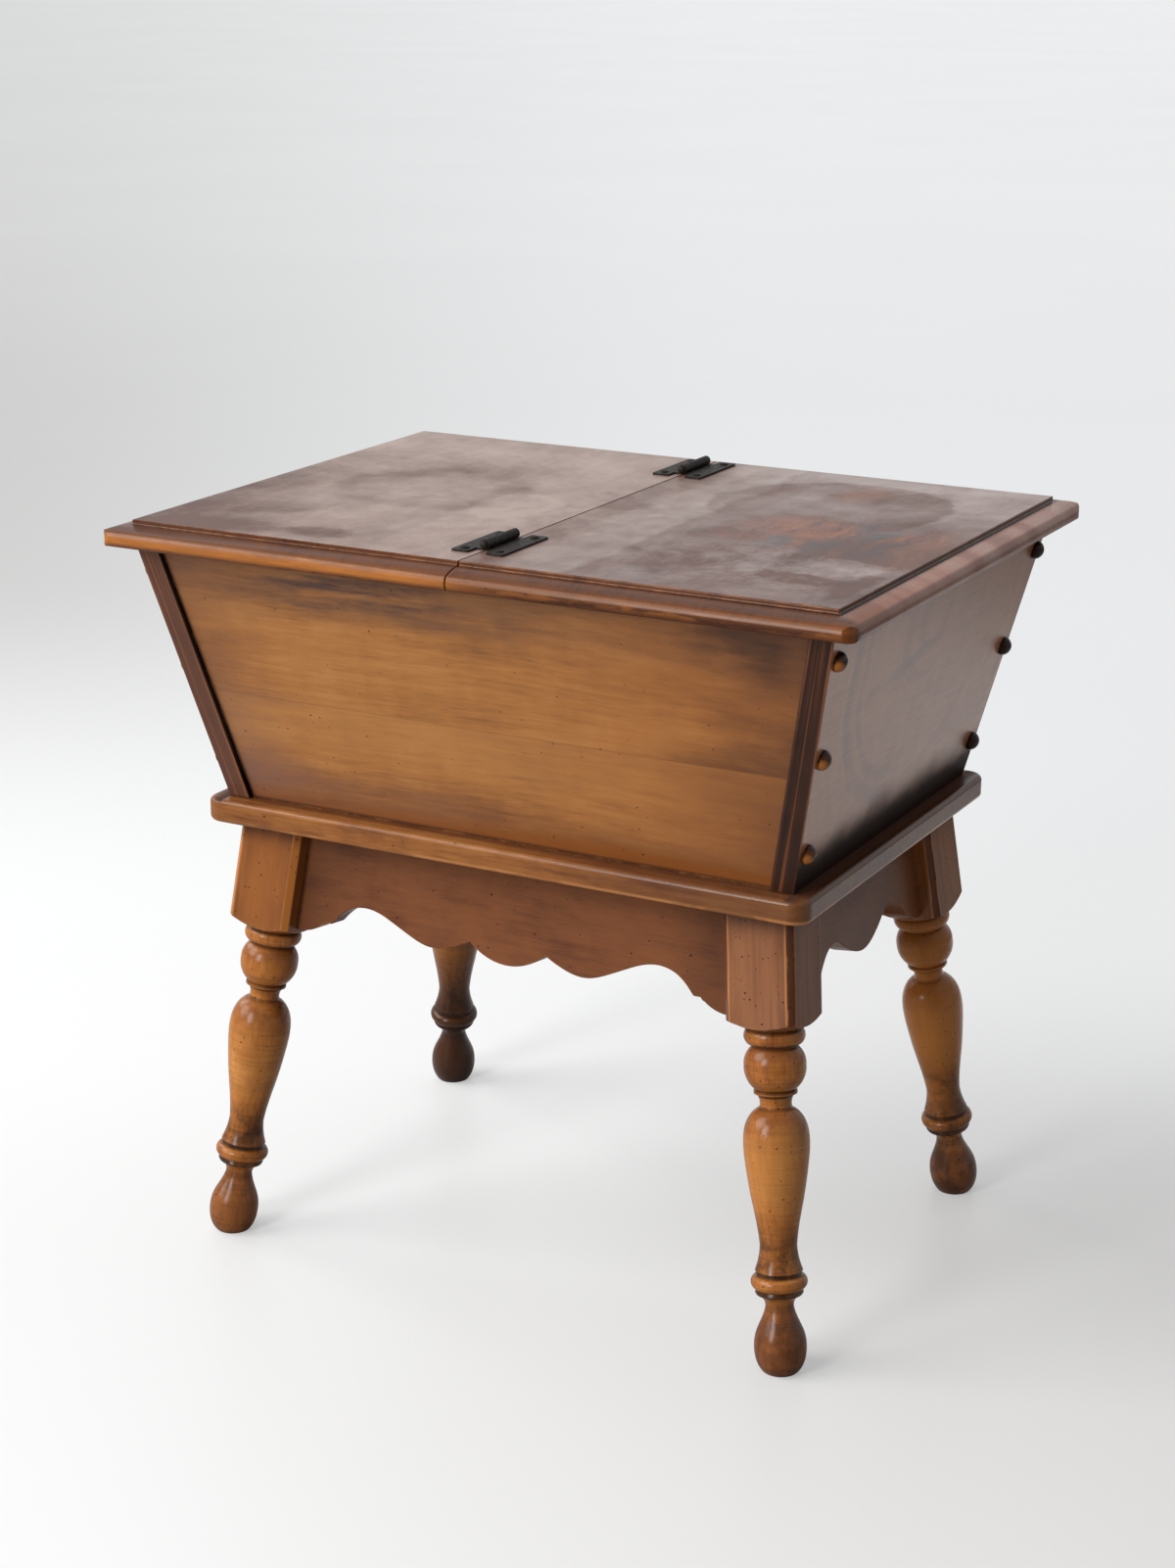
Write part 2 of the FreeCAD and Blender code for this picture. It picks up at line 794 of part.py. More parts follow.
def hinge_screw_hole(place):
    return screw_hole(place, vec(0, 0, -1), hinge_screw_radius, hinge_screw_length)


def hinge_pin(hinge_y):
    """The hinge pin with a domed button at each end of the barrel."""
    half = barrel_length / 2
    rim = pin_head_length / 3
    crown = pin_head_length - rim
    ball = (pin_head_radius ** 2 + crown ** 2) / (2 * crown)
    pin = rod(pin_radius, barrel_length, vec(0, -half, 0), vec(0, 1, 0))
    head = rod(pin_head_radius, pin_head_length, vec(0, half, 0), vec(0, 1, 0))
    head = head.common(Part.makeSphere(ball, vec(0, half + pin_head_length - ball, 0)))
    pin = pin.fuse(head).fuse(mirror_y(head)).removeSplitter()
    pin.translate(vec(seam_x, hinge_y, pin_z))
    return pin


def cut_all(shape, rooms):
    for room in rooms:
        shape = shape.cut(room)
    return shape


def four_corners(shape):
    """The front right shape and its mirror copies, by corner."""
    return {
        "front_right": shape,
        "front_left": mirror_x(shape),
        "rear_right": mirror_y(shape),
        "rear_left": mirror_x(mirror_y(shape)),
    }


def box_nodes(nodes):
    places = button_places()
    rooms = [end_screw_room(place) for place in places]
    seats = platform_screw_places()
    platform_rooms = [platform_screw_room(place) for place in seats]
    front_entries, side_entries = block_screws()
    front_holes = [block_screw_hole(entry) for entry in front_entries]
    side_holes = [block_screw_hole(entry) for entry in side_entries]
    rear_holes = [mirror_y(hole) for hole in front_holes]

    end = cut_all(end_board(), rooms)
    nodes["box_right_end"] = cut_all(end, platform_rooms)
    nodes["box_left_end"] = cut_all(mirror_x(end), platform_rooms + side_holes)
    all_rooms = rooms + [mirror_x(room) for room in rooms] + platform_rooms
    nodes["box_front_board"] = cut_all(front_board(), all_rooms + front_holes)
    nodes["box_rear_board"] = cut_all(mirror_y(front_board()), all_rooms + rear_holes)

    buttons = [button(place) for place in places]
    screws = [end_screw(place) for place in places]
    nodes["buttons_right"] = group(buttons)
    nodes["buttons_left"] = group([mirror_x(shape) for shape in buttons])
    nodes["end_screws_right"] = group(screws)
    nodes["end_screws_left"] = group([mirror_x(shape) for shape in screws])

    front_block, side_block = lid_blocks()
    nodes["lid_block_front"] = cut_all(front_block, front_holes)
    nodes["lid_block_rear"] = mirror_y(nodes["lid_block_front"])
    nodes["lid_block_left"] = cut_all(side_block, side_holes)
    made = [make_block_screw(entry) for entry in front_entries]
    mirrored = [mirror_y(shape) for shape in made]
    nodes["lid_block_screws"] = group(made + mirrored + [make_block_screw(entry) for entry in side_entries])
    return platform_rooms, front_holes + rear_holes + side_holes


def stand_nodes(nodes, platform_rooms):
    nodes["platform_screws"] = group([platform_screw(place) for place in platform_screw_places()])
    screws = [brace_screw(place) for place in brace_screw_places()]
    brace_holes = []
    for place in brace_screw_places():
        hole = screw_hole(place, vec(0, 0, 1), wood_screw_radius, brace_screw_length)
        brace_holes.extend(four_corners(hole).values())
    nodes["platform"] = cut_all(platform(), platform_rooms + brace_holes)
    nodes["brace_screws"] = group([copy for shape in screws for copy in four_corners(shape).values()])
    nodes["brace_bolts"] = group(list(four_corners(brace_bolt()).values()))
    for corner, shape in four_corners(front_right_leg()).items():
        nodes["leg_" + corner] = shape
    for corner, shape in four_corners(front_right_brace()).items():
        nodes["brace_" + corner] = shape
    nodes["apron_front"] = front_apron()
    nodes["apron_rear"] = mirror_y(nodes["apron_front"])
    nodes["apron_right"] = right_apron()
    nodes["apron_left"] = mirror_x(nodes["apron_right"])


def lid_nodes(nodes, block_holes):
    sides = {"fixed": -1, "moving": 1}
    seats = {name: [] for name in sides}
    for label, hinge_y in (("front", front_hinge_y), ("rear", rear_hinge_y)):
        nodes["hinge_" + label + "_pin"] = hinge_pin(hinge_y)
        for name, side in sides.items():
            nodes["hinge_" + label + "_leaf_" + name] = leaf(side, hinge_y)
            seats[name].extend(leaf_screw_places(side, hinge_y))
    for name, places in seats.items():
        nodes["hinge_screws_" + name] = group([hinge_screw(place) for place in places])
    holes = {name: [hinge_screw_hole(place) for place in places] for name, places in seats.items()}
    nodes["lid_fixed"] = cut_all(lid_half(-1), holes["fixed"] + block_holes)
    nodes["lid_hinged"] = cut_all(lid_half(1), holes["moving"])


def build():
    nodes = {}
    platform_rooms, block_holes = box_nodes(nodes)
    stand_nodes(nodes, platform_rooms)
    lid_nodes(nodes, block_holes)
    return nodes


def main():
    os.makedirs("parts", exist_ok=True)
    for name, shape in build().items():
        shape.exportStep("parts/" + name + ".step")
        print(name, len(shape.Solids), shape.isValid(), round(shape.Volume))


main()
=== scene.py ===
import math
import bmesh
import bpy
from mathutils import Matrix, Vector


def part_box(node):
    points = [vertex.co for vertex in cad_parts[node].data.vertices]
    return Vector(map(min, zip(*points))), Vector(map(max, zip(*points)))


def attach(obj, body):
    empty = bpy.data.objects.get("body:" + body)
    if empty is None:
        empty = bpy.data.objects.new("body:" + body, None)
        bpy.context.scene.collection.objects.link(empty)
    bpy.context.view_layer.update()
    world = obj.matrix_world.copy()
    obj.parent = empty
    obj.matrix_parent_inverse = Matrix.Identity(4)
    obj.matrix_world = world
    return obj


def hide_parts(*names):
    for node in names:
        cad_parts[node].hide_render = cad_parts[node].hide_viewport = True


# A sugar chest of stained and lacquered maple, with old wear and water stains.
# Metres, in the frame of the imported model: +X is along the length, the front faces -Y, +Z is up.
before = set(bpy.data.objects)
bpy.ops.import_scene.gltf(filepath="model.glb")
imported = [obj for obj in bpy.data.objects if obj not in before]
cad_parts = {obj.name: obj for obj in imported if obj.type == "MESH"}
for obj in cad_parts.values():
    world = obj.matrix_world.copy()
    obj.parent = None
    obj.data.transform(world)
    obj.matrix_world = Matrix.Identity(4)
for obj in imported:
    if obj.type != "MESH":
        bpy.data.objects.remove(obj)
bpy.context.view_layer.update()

# Camera, from the photograph's own perspective.
camera_place = (1.12554, -2.12263, 1.16570)
camera_yaw = 0.49253
camera_pitch = 0.30458
camera_roll = 0.00319
picture_height = 1601
focal_pixels = 2910.5
sensor_long_side = 36.0

# Colours, as linear red, green and blue.
honey = (0.300, 0.112, 0.026)
honey_dark = (0.130, 0.042, 0.013)
honey_light = (0.410, 0.180, 0.052)
honey_red = (0.270, 0.076, 0.014)
umber = (0.034, 0.013, 0.007)
# Near black: for specks, glaze in grooves and dark mottling, and for painted shade.
near_black = (0.008, 0.004, 0.003)
russet = (0.158, 0.052, 0.017)
russet_dark = (0.070, 0.021, 0.009)
russet_light = (0.215, 0.072, 0.022)
worn = (0.460, 0.190, 0.062)
brick = (0.232, 0.078, 0.038)
rosewood = (0.100, 0.034, 0.018)
rosewood_dark = (0.040, 0.013, 0.008)
walnut_dark = (0.020, 0.008, 0.005)
walnut_light = (0.085, 0.028, 0.012)
bloom = (0.370, 0.255, 0.205)
bloom_cool = (0.300, 0.225, 0.205)
bloom_pale = (0.390, 0.300, 0.275)
slate = (0.085, 0.074, 0.076)
smoke_brown = (0.074, 0.036, 0.028)
mauve_light = (0.440, 0.172, 0.074)
mauve = (0.350, 0.128, 0.052)
mauve_dark = (0.200, 0.068, 0.026)
ember = (0.220, 0.062, 0.010)
veil = (0.178, 0.085, 0.058)
leg_light = (0.480, 0.202, 0.050)
leg_middle = (0.360, 0.122, 0.024)
leg_dark = (0.165, 0.050, 0.013)
nose_orange = (0.480, 0.165, 0.030)
nose_pale = (0.360, 0.140, 0.092)
nose_brown = (0.120, 0.038, 0.012)
nose_dark = (0.048, 0.013, 0.006)
bare_pine = (0.50, 0.33, 0.19)
bare_pine_dark = (0.36, 0.21, 0.11)
black_iron = (0.017, 0.013, 0.010)
rubbed_iron = (0.050, 0.044, 0.040)
zinc = (0.50, 0.50, 0.48)
zinc_dark = (0.30, 0.29, 0.27)

# The floor's colours at its left and right, at three distances, and farthest away: painted light and shade
# of the room on the floor.
floor_near = (0.835, 0.840, 0.840), (0.690, 0.680, 0.672)
floor_middle = (0.875, 0.880, 0.880), (0.825, 0.828, 0.832)
floor_far = (0.576, 0.576, 0.566), (0.796, 0.802, 0.810)
floor_farthest = (0.94, 0.95, 0.96)
# What the floor throws back on the chest, and the room and daylight around it.
floor_bounce = (0.34, 0.335, 0.33)
room_pale = (0.80, 0.815, 0.83)
daylight = (0.97, 0.985, 1.0)
sunlight = (1.0, 0.99, 0.97)

# Sizes and angles of the dressed shapes and their looks.
board_edge = 0.0009
post_edge = 0.0007
platform_edge = 0.0004
eased_run = 0.18
weld_distance = 0.000002
flat_angle = math.radians(0.3)
sharp_angle = math.radians(28)
crease_angle = math.radians(30)
facing = 0.9
top_depth = 0.0005
ring_gap = 0.0042
fibre_depth = 0.00006
fibre_relief = 0.35
speck_least = 0.0003
speck_blur = 0.00025
joint_width = 0.0007
board_shift = 0.37
extra_shift = 0.21
lacquer_spread = 0.10
panel_joint = 0.1005
lid_joints = (-0.101, -0.047, 0.120)

# Places taken from the frame.
lid_low, lid_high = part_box("lid_fixed")
lid_right_low, lid_right_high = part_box("lid_hinged")
panel_low, panel_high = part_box("box_front_board")
platform_low, platform_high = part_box("platform")
leg_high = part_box("leg_front_right")[1]
end_low, end_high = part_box("box_right_end")
platform_margin = 0.0168
board_thickness = 0.0206
box_foot_x = platform_high.x - platform_margin
box_foot_y = platform_high.y - platform_margin
box_height = end_high.z - end_low.z
panel_splay_x = (end_high.x - box_foot_x) / box_height
panel_splay_y = (end_high.y - box_foot_y) / box_height
seam_x = (lid_high.x + lid_right_low.x) / 2
moulding_run = 0.0215

# Legs: the axis of the front right one, from the platform to the floor.
leg_inset_x = 0.0533
leg_inset_y = 0.0563
leg_splay_x = 0.0425
leg_splay_y = 0.0537
leg_top = Vector((platform_high.x - leg_inset_x, leg_inset_y - platform_high.y, leg_high.z))
leg_foot = Vector((leg_top.x + leg_splay_x, leg_top.y - leg_splay_y, 0.0))
leg_length = (leg_foot - leg_top).length

# Grooves where glaze gathered: share of the leg's length, reach as a share too, and amount.
leg_grooves = (
    (0.268, 0.010, 0.80),
    (0.304, 0.009, 0.85),
    (0.399, 0.007, 0.70),
    (0.409, 0.006, 0.80),
    (0.437, 0.006, 0.60),
    (0.745, 0.040, 0.25),
    (0.788, 0.008, 0.90),
    (0.828, 0.011, 0.90),
    (0.862, 0.016, 0.45),
)

# Stains on the lid: x, y, reach, softness, width and height factors, and share added to the bloom.
lid_stains = (
    (-0.215, 0.075, 0.085, 0.090, 1.3, 0.9, -0.34),
    (-0.300, -0.015, 0.050, 0.060, 0.8, 1.3, -0.30),
    (-0.190, 0.118, 0.110, 0.100, 1.2, 0.7, 0.20),
    (-0.275, 0.038, 0.045, 0.060, 1.0, 1.0, 0.14),
    (-0.290, 0.180, 0.080, 0.090, 1.2, 0.8, 0.10),
    (-0.190, 0.170, 0.060, 0.070, 1.4, 0.6, -0.02),
    (-0.080, 0.140, 0.050, 0.060, 1.0, 1.0, 0.12),
    (-0.140, 0.120, 0.030, 0.040, 1.4, 0.8, -0.16),
    (-0.166, 0.006, 0.047, 0.016, 1.0, 1.0, 0.06),
    (-0.068, -0.028, 0.046, 0.010, 0.8, 1.1, 0.26),
    (-0.085, -0.076, 0.032, 0.008, 0.8, 1.0, 0.06),
    (-0.080, 0.030, 0.030, 0.040, 1.0, 1.0, -0.18),
    (0.080, -0.205, 0.030, 0.040, 1.0, 0.8, -0.28),
    (0.188, -0.205, 0.035, 0.040, 1.2, 0.7, -0.20),
    (-0.240, -0.205, 0.050, 0.050, 1.0, 0.6, -0.12),
    (-0.120, -0.210, 0.035, 0.050, 1.2, 0.6, -0.12),
    (-0.050, -0.150, 0.060, 0.060, 0.8, 1.4, 0.14),
    (-0.150, -0.120, 0.055, 0.060, 1.0, 1.0, 0.08),
    (-0.160, -0.205, 0.030, 0.020, 1.1, 0.6, -0.34),
    (-0.345, -0.250, 0.140, 0.160, 1.0, 1.2, -0.75),
    (-0.235, -0.215, 0.040, 0.060, 1.3, 0.6, -0.20),
    (0.010, 0.190, 0.050, 0.060, 1.0, 0.8, -0.12),
    (0.120, 0.205, 0.080, 0.060, 1.8, 0.5, 0.28),
    (0.150, 0.105, 0.070, 0.060, 1.0, 0.8, 0.12),
    (0.238, 0.140, 0.036, 0.040, 1.0, 1.0, 0.06),
    (0.186, 0.146, 0.030, 0.030, 1.0, 1.2, -0.28),
    (0.134, -0.029, 0.028, 0.040, 1.0, 1.0, -0.20),
    (0.240, 0.088, 0.026, 0.040, 1.0, 1.0, 0.16),
    (0.070, 0.038, 0.050, 0.060, 1.2, 0.8, 0.14),
    (0.268, -0.035, 0.062, 0.050, 1.1, 0.8, -0.80),
    (-0.116, -0.160, 0.060, 0.060, 0.8, 1.3, -0.10),
    (0.250, 0.030, 0.060, 0.080, 1.3, 0.8, -0.16),
    (0.300, 0.160, 0.070, 0.050, 0.7, 1.3, 0.34),
    (0.200, 0.220, 0.050, 0.040, 2.4, 0.5, 0.22),
    (0.130, 0.095, 0.030, 0.040, 0.8, 1.8, 0.10),
    (0.190, 0.110, 0.030, 0.030, 0.7, 1.8, 0.14),
    (0.274, -0.104, 0.030, 0.026, 1.1, 0.9, 0.46),
    (0.238, -0.092, 0.026, 0.030, 1.0, 0.9, -0.18),
    (0.180, -0.110, 0.040, 0.040, 1.0, 0.6, 0.06),
    (0.240, -0.200, 0.060, 0.050, 1.5, 0.5, 0.06),
    (0.110, -0.215, 0.050, 0.050, 1.3, 0.6, 0.08),
    (0.256, -0.152, 0.026, 0.014, 1.4, 0.6, -0.40),
    (0.150, -0.150, 0.030, 0.030, 1.0, 1.2, -0.16),
    (0.305, -0.150, 0.020, 0.020, 0.6, 2.2, -0.40),
)
# Rings on the lid: x, y, reach, width, softness.
cup_ring = (-0.166, 0.006, 0.088, 0.044, 0.030)
pot_ring = (0.168, 0.100, 0.104, 0.042, 0.008)
# Ovals of the rubbed zone: x, y, reach, softness, width and height factors.
uneasy_oval = (0.215, -0.130, 0.080, 0.060, 1.4, 0.9)
rubbed_oval = (0.222, -0.010, 0.072, 0.055, 1.35, 0.85)
bared_oval = (0.185, 0.010, 0.040, 0.030, 1.2, 1.0)
bared_edge_oval = (0.302, -0.020, 0.020, 0.030, 1.0, 2.8)
dark_oval = (0.268, -0.036, 0.046, 0.050, 1.2, 0.8)
smear_oval = (0.180, 0.160, 0.018, 0.018, 1.1, 1.9)


class Net:
    """A short way to write shader nodes: each call returns an output socket."""

    def __init__(self, tree):
        self.tree = tree

    def put(self, socket, value):
        if isinstance(value, bpy.types.NodeSocket):
            self.tree.links.new(value, socket)
        elif isinstance(value, (tuple, Vector)) and socket.type == "RGBA":
            socket.default_value = (*value, 1.0)
        else:
            socket.default_value = value

    def add(self, kind, settings=None, inputs=None):
        node = self.tree.nodes.new(kind)
        for name, value in (settings or {}).items():
            setattr(node, name, value)
        for name, value in (inputs or {}).items():
            self.put(node.inputs[name], value)
        return node

    def math(self, operation, a, b=0.0, c=0.0, clamp=False):
        settings = {"operation": operation, "use_clamp": clamp}
        return self.add("ShaderNodeMath", settings, {0: a, 1: b, 2: c}).outputs[0]

    def chain(self, operation, a, others):
        for other in others:
            a = self.math(operation, a, other)
        return a

    def times(self, a, *others):
        return self.chain("MULTIPLY", a, others)

    def plus(self, a, *others):
        return self.chain("ADD", a, others)

    def most(self, a, *others):
        return self.chain("MAXIMUM", a, others)

    def least(self, a, *others):
        return self.chain("MINIMUM", a, others)

    def minus(self, a, b):
        return self.math("SUBTRACT", a, b)

    def ratio(self, a, b):
        return self.math("DIVIDE", a, b)

    def abs(self, a):
        return self.math("ABSOLUTE", a)

    def above(self, a, b):
        return self.math("GREATER_THAN", a, b)

    def below(self, a, b):
        return self.math("LESS_THAN", a, b)

    def line(self, a, rise, start):
        """A straight line: start, and rise for each unit of a."""
        return self.math("MULTIPLY_ADD", a, rise, start)

    def rest(self, a, share=1.0):
        """What is left of one after a share of a is taken."""
        return self.line(a, -share, 1.0)

    def swing(self, a, reach):
        """A value about one half, as a swing about nothing."""
        return self.times(self.minus(a, 0.5), reach)

    def vector(self, operation, a, b=(0, 0, 0)):
        node = self.add("ShaderNodeVectorMath", {"operation": operation}, {0: a, 1: b})
        return node.outputs["Value" if operation in ("DOT_PRODUCT", "LENGTH") else "Vector"]

    def scaled(self, a, factors):
        return self.vector("MULTIPLY", a, factors)

    def length(self, a):
        return self.vector("LENGTH", a)

    def dot(self, a, b):
        return self.vector("DOT_PRODUCT", a, b)

    def split(self, a):
        return self.add("ShaderNodeSeparateXYZ", {}, {0: a}).outputs

    def join(self, x, y, z):
        return self.add("ShaderNodeCombineXYZ", {}, {0: x, 1: y, 2: z}).outputs[0]

    def place(self):
        return self.add("ShaderNodeTexCoord").outputs["Object"]

    def grain(self):
        return self.add("ShaderNodeAttribute", {"attribute_name": "grain"}).outputs["Vector"]

    def noise(self, where, scale=1.0, detail=3.0, roughness=0.5, output=0):
        inputs = {"Vector": where, "Scale": scale, "Detail": detail, "Roughness": roughness}
        return self.add("ShaderNodeTexNoise", {}, inputs).outputs[output]

    def streaks(self, where, along, across, detail=3.0, roughness=0.5):
        """Noise with one scale along the grain and another across it."""
        return self.noise(self.scaled(where, (along, across, across)), 1.0, detail, roughness)

    def warped(self, where, scale, reach):
        """The place, pushed about by as much as half of reach."""
        push = self.noise(where, scale, roughness=0.6, output=1)
        push = self.vector("SUBTRACT", push, (0.5, 0.5, 0.5))
        return self.vector("ADD", where, self.scaled(push, (reach, reach, reach)))

    def fade(self, value, start, end, low=0.0, high=1.0, kind="SMOOTHSTEP"):
        """Smoothly from low at start to high at end."""
        inputs = {"Value": value, 1: start, 2: end, 3: low, 4: high}
        return self.add("ShaderNodeMapRange", {"interpolation_type": kind}, inputs).outputs[0]

    def slope(self, value, start, end, low=0.0, high=1.0):
        return self.fade(value, start, end, low, high, "LINEAR")

    def between(self, value, start, full, last, end):
        """Rises from start to full, stays to last, and is gone at end."""
        return self.times(self.fade(value, start, full), self.fade(value, end, last))

    def near(self, value, middle, reach, core, high=1.0):
        """High within core of the middle, and nothing beyond reach."""
        return self.fade(self.abs(self.minus(value, middle)), reach, core, 0.0, high)

    def mix(self, share, a, b):
        node = self.add("ShaderNodeMix", {"data_type": "RGBA"})
        self.put(node.inputs["Factor"], share)
        self.put(node.inputs[6], a)
        self.put(node.inputs[7], b)
        return node.outputs[2]

    def mix_values(self, share, a, b):
        """a where share is 0 and b where it is 1."""
        return self.line(share, self.minus(b, a), a)

    def relief(self, height, distance=fibre_depth, strength=fibre_relief):
        inputs = {"Height": height, "Distance": distance, "Strength": strength}
        return self.add("ShaderNodeBump", {}, inputs).outputs[0]


class Finish(Net):
    """The nodes of one material, whose colour is built up in layers."""

    def __init__(self, name):
        self.material = bpy.data.materials.new(name)
        self.material.use_nodes = True
        super().__init__(self.material.node_tree)
        self.shader = self.tree.nodes["Principled BSDF"]
        self.colour = None

    def lay(self, share, tint):
        """A share of a tint over the colour so far."""
        self.colour = self.mix(share, self.colour, tint)

    def done(self, roughness, **others):
        """The material. The others are the shader's sockets by name, with _ for a space."""
        sockets = {"Base Color": self.colour, "Roughness": roughness, **others}
        for name, value in sockets.items():
            self.put(self.shader.inputs[name.replace("_", " ")], value)
        return self.material


def maple(net, where, light, middle, dark, streak, rings, blotch):
    """Figured wood: where runs along the grain in x. Returns its fibre height."""
    bend = net.swing(net.streaks(where, 2.0, 9.0, detail=2.0), 0.030)
    along, across, deep = net.split(where)
    bent = net.join(along, net.plus(across, bend), net.plus(deep, bend))
    pith = net.vector("ADD", bent, (0.0, 0.013, 0.085))
    radius = net.length(net.scaled(pith, (0.0, 1.0, 1.0)))
    late = net.between(net.math("FRACT", net.ratio(radius, ring_gap)), 0.55, 0.97, 0.97, 1.0)
    broad = net.streaks(bent, 3.6, 46.0, detail=5.0, roughness=0.65)
    fine = net.streaks(bent, 16.0, 260.0, detail=4.0, roughness=0.70)
    fibres = net.streaks(bent, 60.0, 1000.0, detail=2.0, roughness=0.6)
    clouds = net.streaks(where, 7.0, 14.0, detail=5.0, roughness=0.62)
    figure = net.streaks(where, 48.0, 14.0, detail=2.0)
    tone = net.plus(
        net.swing(broad, 1.6 * streak),
        net.swing(fine, 1.9 * streak),
        net.swing(fibres, 0.55),
        net.swing(clouds, 2.2 * blotch),
        net.swing(figure, 0.35),
    )
    tone = net.line(late, -rings, tone)
    net.colour = net.mix(net.slope(tone, 0.0, 0.5), middle, light)
    net.lay(net.slope(tone, 0.0, -0.5), dark)
    return net.line(broad, 0.6, fibres)


def specked(net, where, spacing=0.010, largest=0.0012):
    """Small dark marks of uneven size, as a finisher spatters them."""
    cells = net.add("ShaderNodeTexVoronoi", {}, {"Vector": where, "Scale": 1.0 / spacing})
    chance, other, _ = net.split(cells.outputs["Color"])
    radius = net.slope(chance, 0.30, 0.90, speck_least, largest)
    edge = net.times(cells.outputs["Distance"], spacing)
    uneven = net.swing(net.noise(where, scale=900.0, detail=1.0), 0.0008)
    mark = net.slope(net.minus(radius, net.plus(edge, uneven)), 0.0, speck_blur)
    net.lay(net.times(mark, net.slope(other, 0.0, 1.0, 0.45, 0.95)), near_black)


def worn_edge(net, where, wear):
    """Stain rubbed off an edge, in broken lengths."""
    if wear:
        broken = net.fade(net.noise(where, scale=55.0, roughness=0.6), 0.42, 0.66)
        net.lay(net.times(broken, wear), worn)


def lacquer(net, where, fibres, dull, gloss, relief=fibre_relief, **others):
    """A satin coat over the stained wood."""
    patches = net.noise(where, scale=9.0)
    roughness = net.fade(patches, 0.25, 0.75, dull - lacquer_spread / 2, dull + lacquer_spread / 2)
    normal = net.relief(fibres, strength=relief)
    return net.done(roughness, Normal=normal, Specular_IOR_Level=gloss, **others)


def glued(net, value, joints):
    """Boards glued side by side: a shift for each board's grain and a mark on each joint."""
    shift = 0.0
    mark = 0.0
    for number, joint in enumerate(joints):
        shift = net.line(net.above(value, joint), board_shift + number * extra_shift, shift)
        mark = net.most(net.near(value, joint, joint_width, 0.0), mark)
    return shift, mark


def saw_marks(net, where, x, y, height):
    """Two arcs and a streak on the right end board, and fainter arcs on both."""
    swept = net.length(net.join(net.plus(y, 0.010), net.minus(height, 0.200), 0.0))
    swept = net.plus(swept, net.swing(net.noise(where, scale=14.0), 0.018))
    rows = net.most(net.near(swept, 0.161, 0.009, 0.002), net.near(swept, 0.140, 0.008, 0.002, 0.7))
    rows = net.times(rows, net.fade(y, 0.00, -0.06))
    rise = net.minus(height, net.line(y, 0.12, 0.168))
    streak = net.times(net.near(rise, 0.0, 0.010, 0.002), net.between(y, -0.150, -0.100, -0.010, 0.040))
    faint = net.fade(net.noise(where, scale=18.0, detail=4.0, roughness=0.6), 0.30, 0.62, 0.12, 0.52)
    net.lay(net.times(net.most(rows, streak), net.above(x, 0.0), faint), russet_dark)
    arcs = net.noise(net.join(net.times(swept, 55.0), net.times(y, 5.0), x))
    arcs = net.slope(arcs, 0.50, 0.70, 0.0, 0.25)
    net.lay(net.times(arcs, net.fade(x, -0.1, 0.1, 0.3, 1.0)), russet_dark)


def glazed_box(name, wear=0.0):
    """End boards: dark, smooth and glossy."""
    net = Finish(name)
    where = net.grain()
    maple(net, where, mauve_light, mauve, mauve_dark, streak=0.30, rings=0.06, blotch=0.50)
    specked(net, where, spacing=0.014)
    x, y, z = net.split(net.place())
    height = net.minus(z, panel_low.z)
    saw_marks(net, where, x, y, height)
    # Painted shade and a dark painted reflection of the platform over the lowest few centimetres, where
    # the coat is also left off.
    uneven = net.swing(net.noise(where, scale=22.0), 0.022)
    foot = net.fade(net.plus(height, uneven), 0.053, 0.016, 0.0, 0.98)
    net.lay(foot, near_black)
    # Painted shade on an end board's inner face, in the corner with the board that stands back from its
    # edge.
    edge = net.line(height, panel_splay_y, box_foot_y)
    lip = net.fade(net.minus(edge, net.abs(y)), 0.0075, 0.0055)
    inner = net.line(height, panel_splay_x, box_foot_x - board_thickness + 0.001)
    net.lay(net.times(lip, net.below(net.abs(x), inner)), near_black)
    if wear:
        worn_edge(net, where, wear)
        net.lay(0.6, walnut_light)
    coat = {"Coat_Weight": net.rest(foot), "Coat_Roughness": 0.24, "Coat_IOR": 1.45}
    normal = net.relief(net.streaks(where, 3.0, 9.0, detail=1.0), 0.0008, 0.2)
    return net.done(0.60, Normal=normal, Specular_IOR_Level=0.06, **coat)


def end_grain(name):
    """The sawn ends of the end boards: dark, with thin pale rings along them."""
    net = Finish(name)
    place = net.place()
    x, _, z = net.split(place)
    height = net.minus(z, panel_low.z)
    inward = net.minus(net.line(height, panel_splay_x, box_foot_x), net.abs(x))
    lines = net.join(net.times(z, 3.5), net.times(inward, 330.0), net.math("SIGN", x))
    rings = net.noise(lines, roughness=0.6)
    clouds = net.noise(place, scale=28.0)
    tone = net.plus(rings, net.swing(clouds, 0.5))
    net.colour = net.mix(net.slope(tone, 0.32, 0.60), rosewood_dark, walnut_light)
    net.lay(net.fade(rings, 0.57, 0.66, 0.0, 0.80), russet_light)
    rim = net.fade(inward, board_thickness - 0.0028, board_thickness - 0.0012, 0.0, 0.45)
    net.lay(net.times(rim, net.fade(clouds, 0.35, 0.6, 0.4, 1.0)), russet_light)
    net.lay(net.fade(x, 0.0, -0.1, 0.0, 0.30), veil)
    net.lay(net.times(net.fade(x, 0.0, 0.1, 0.0, 0.60), net.fade(rings, 0.60, 0.50, 0.3, 1.0)), near_black)
    return lacquer(net, net.grain(), rings, dull=0.34, gloss=0.22, relief=0.2)


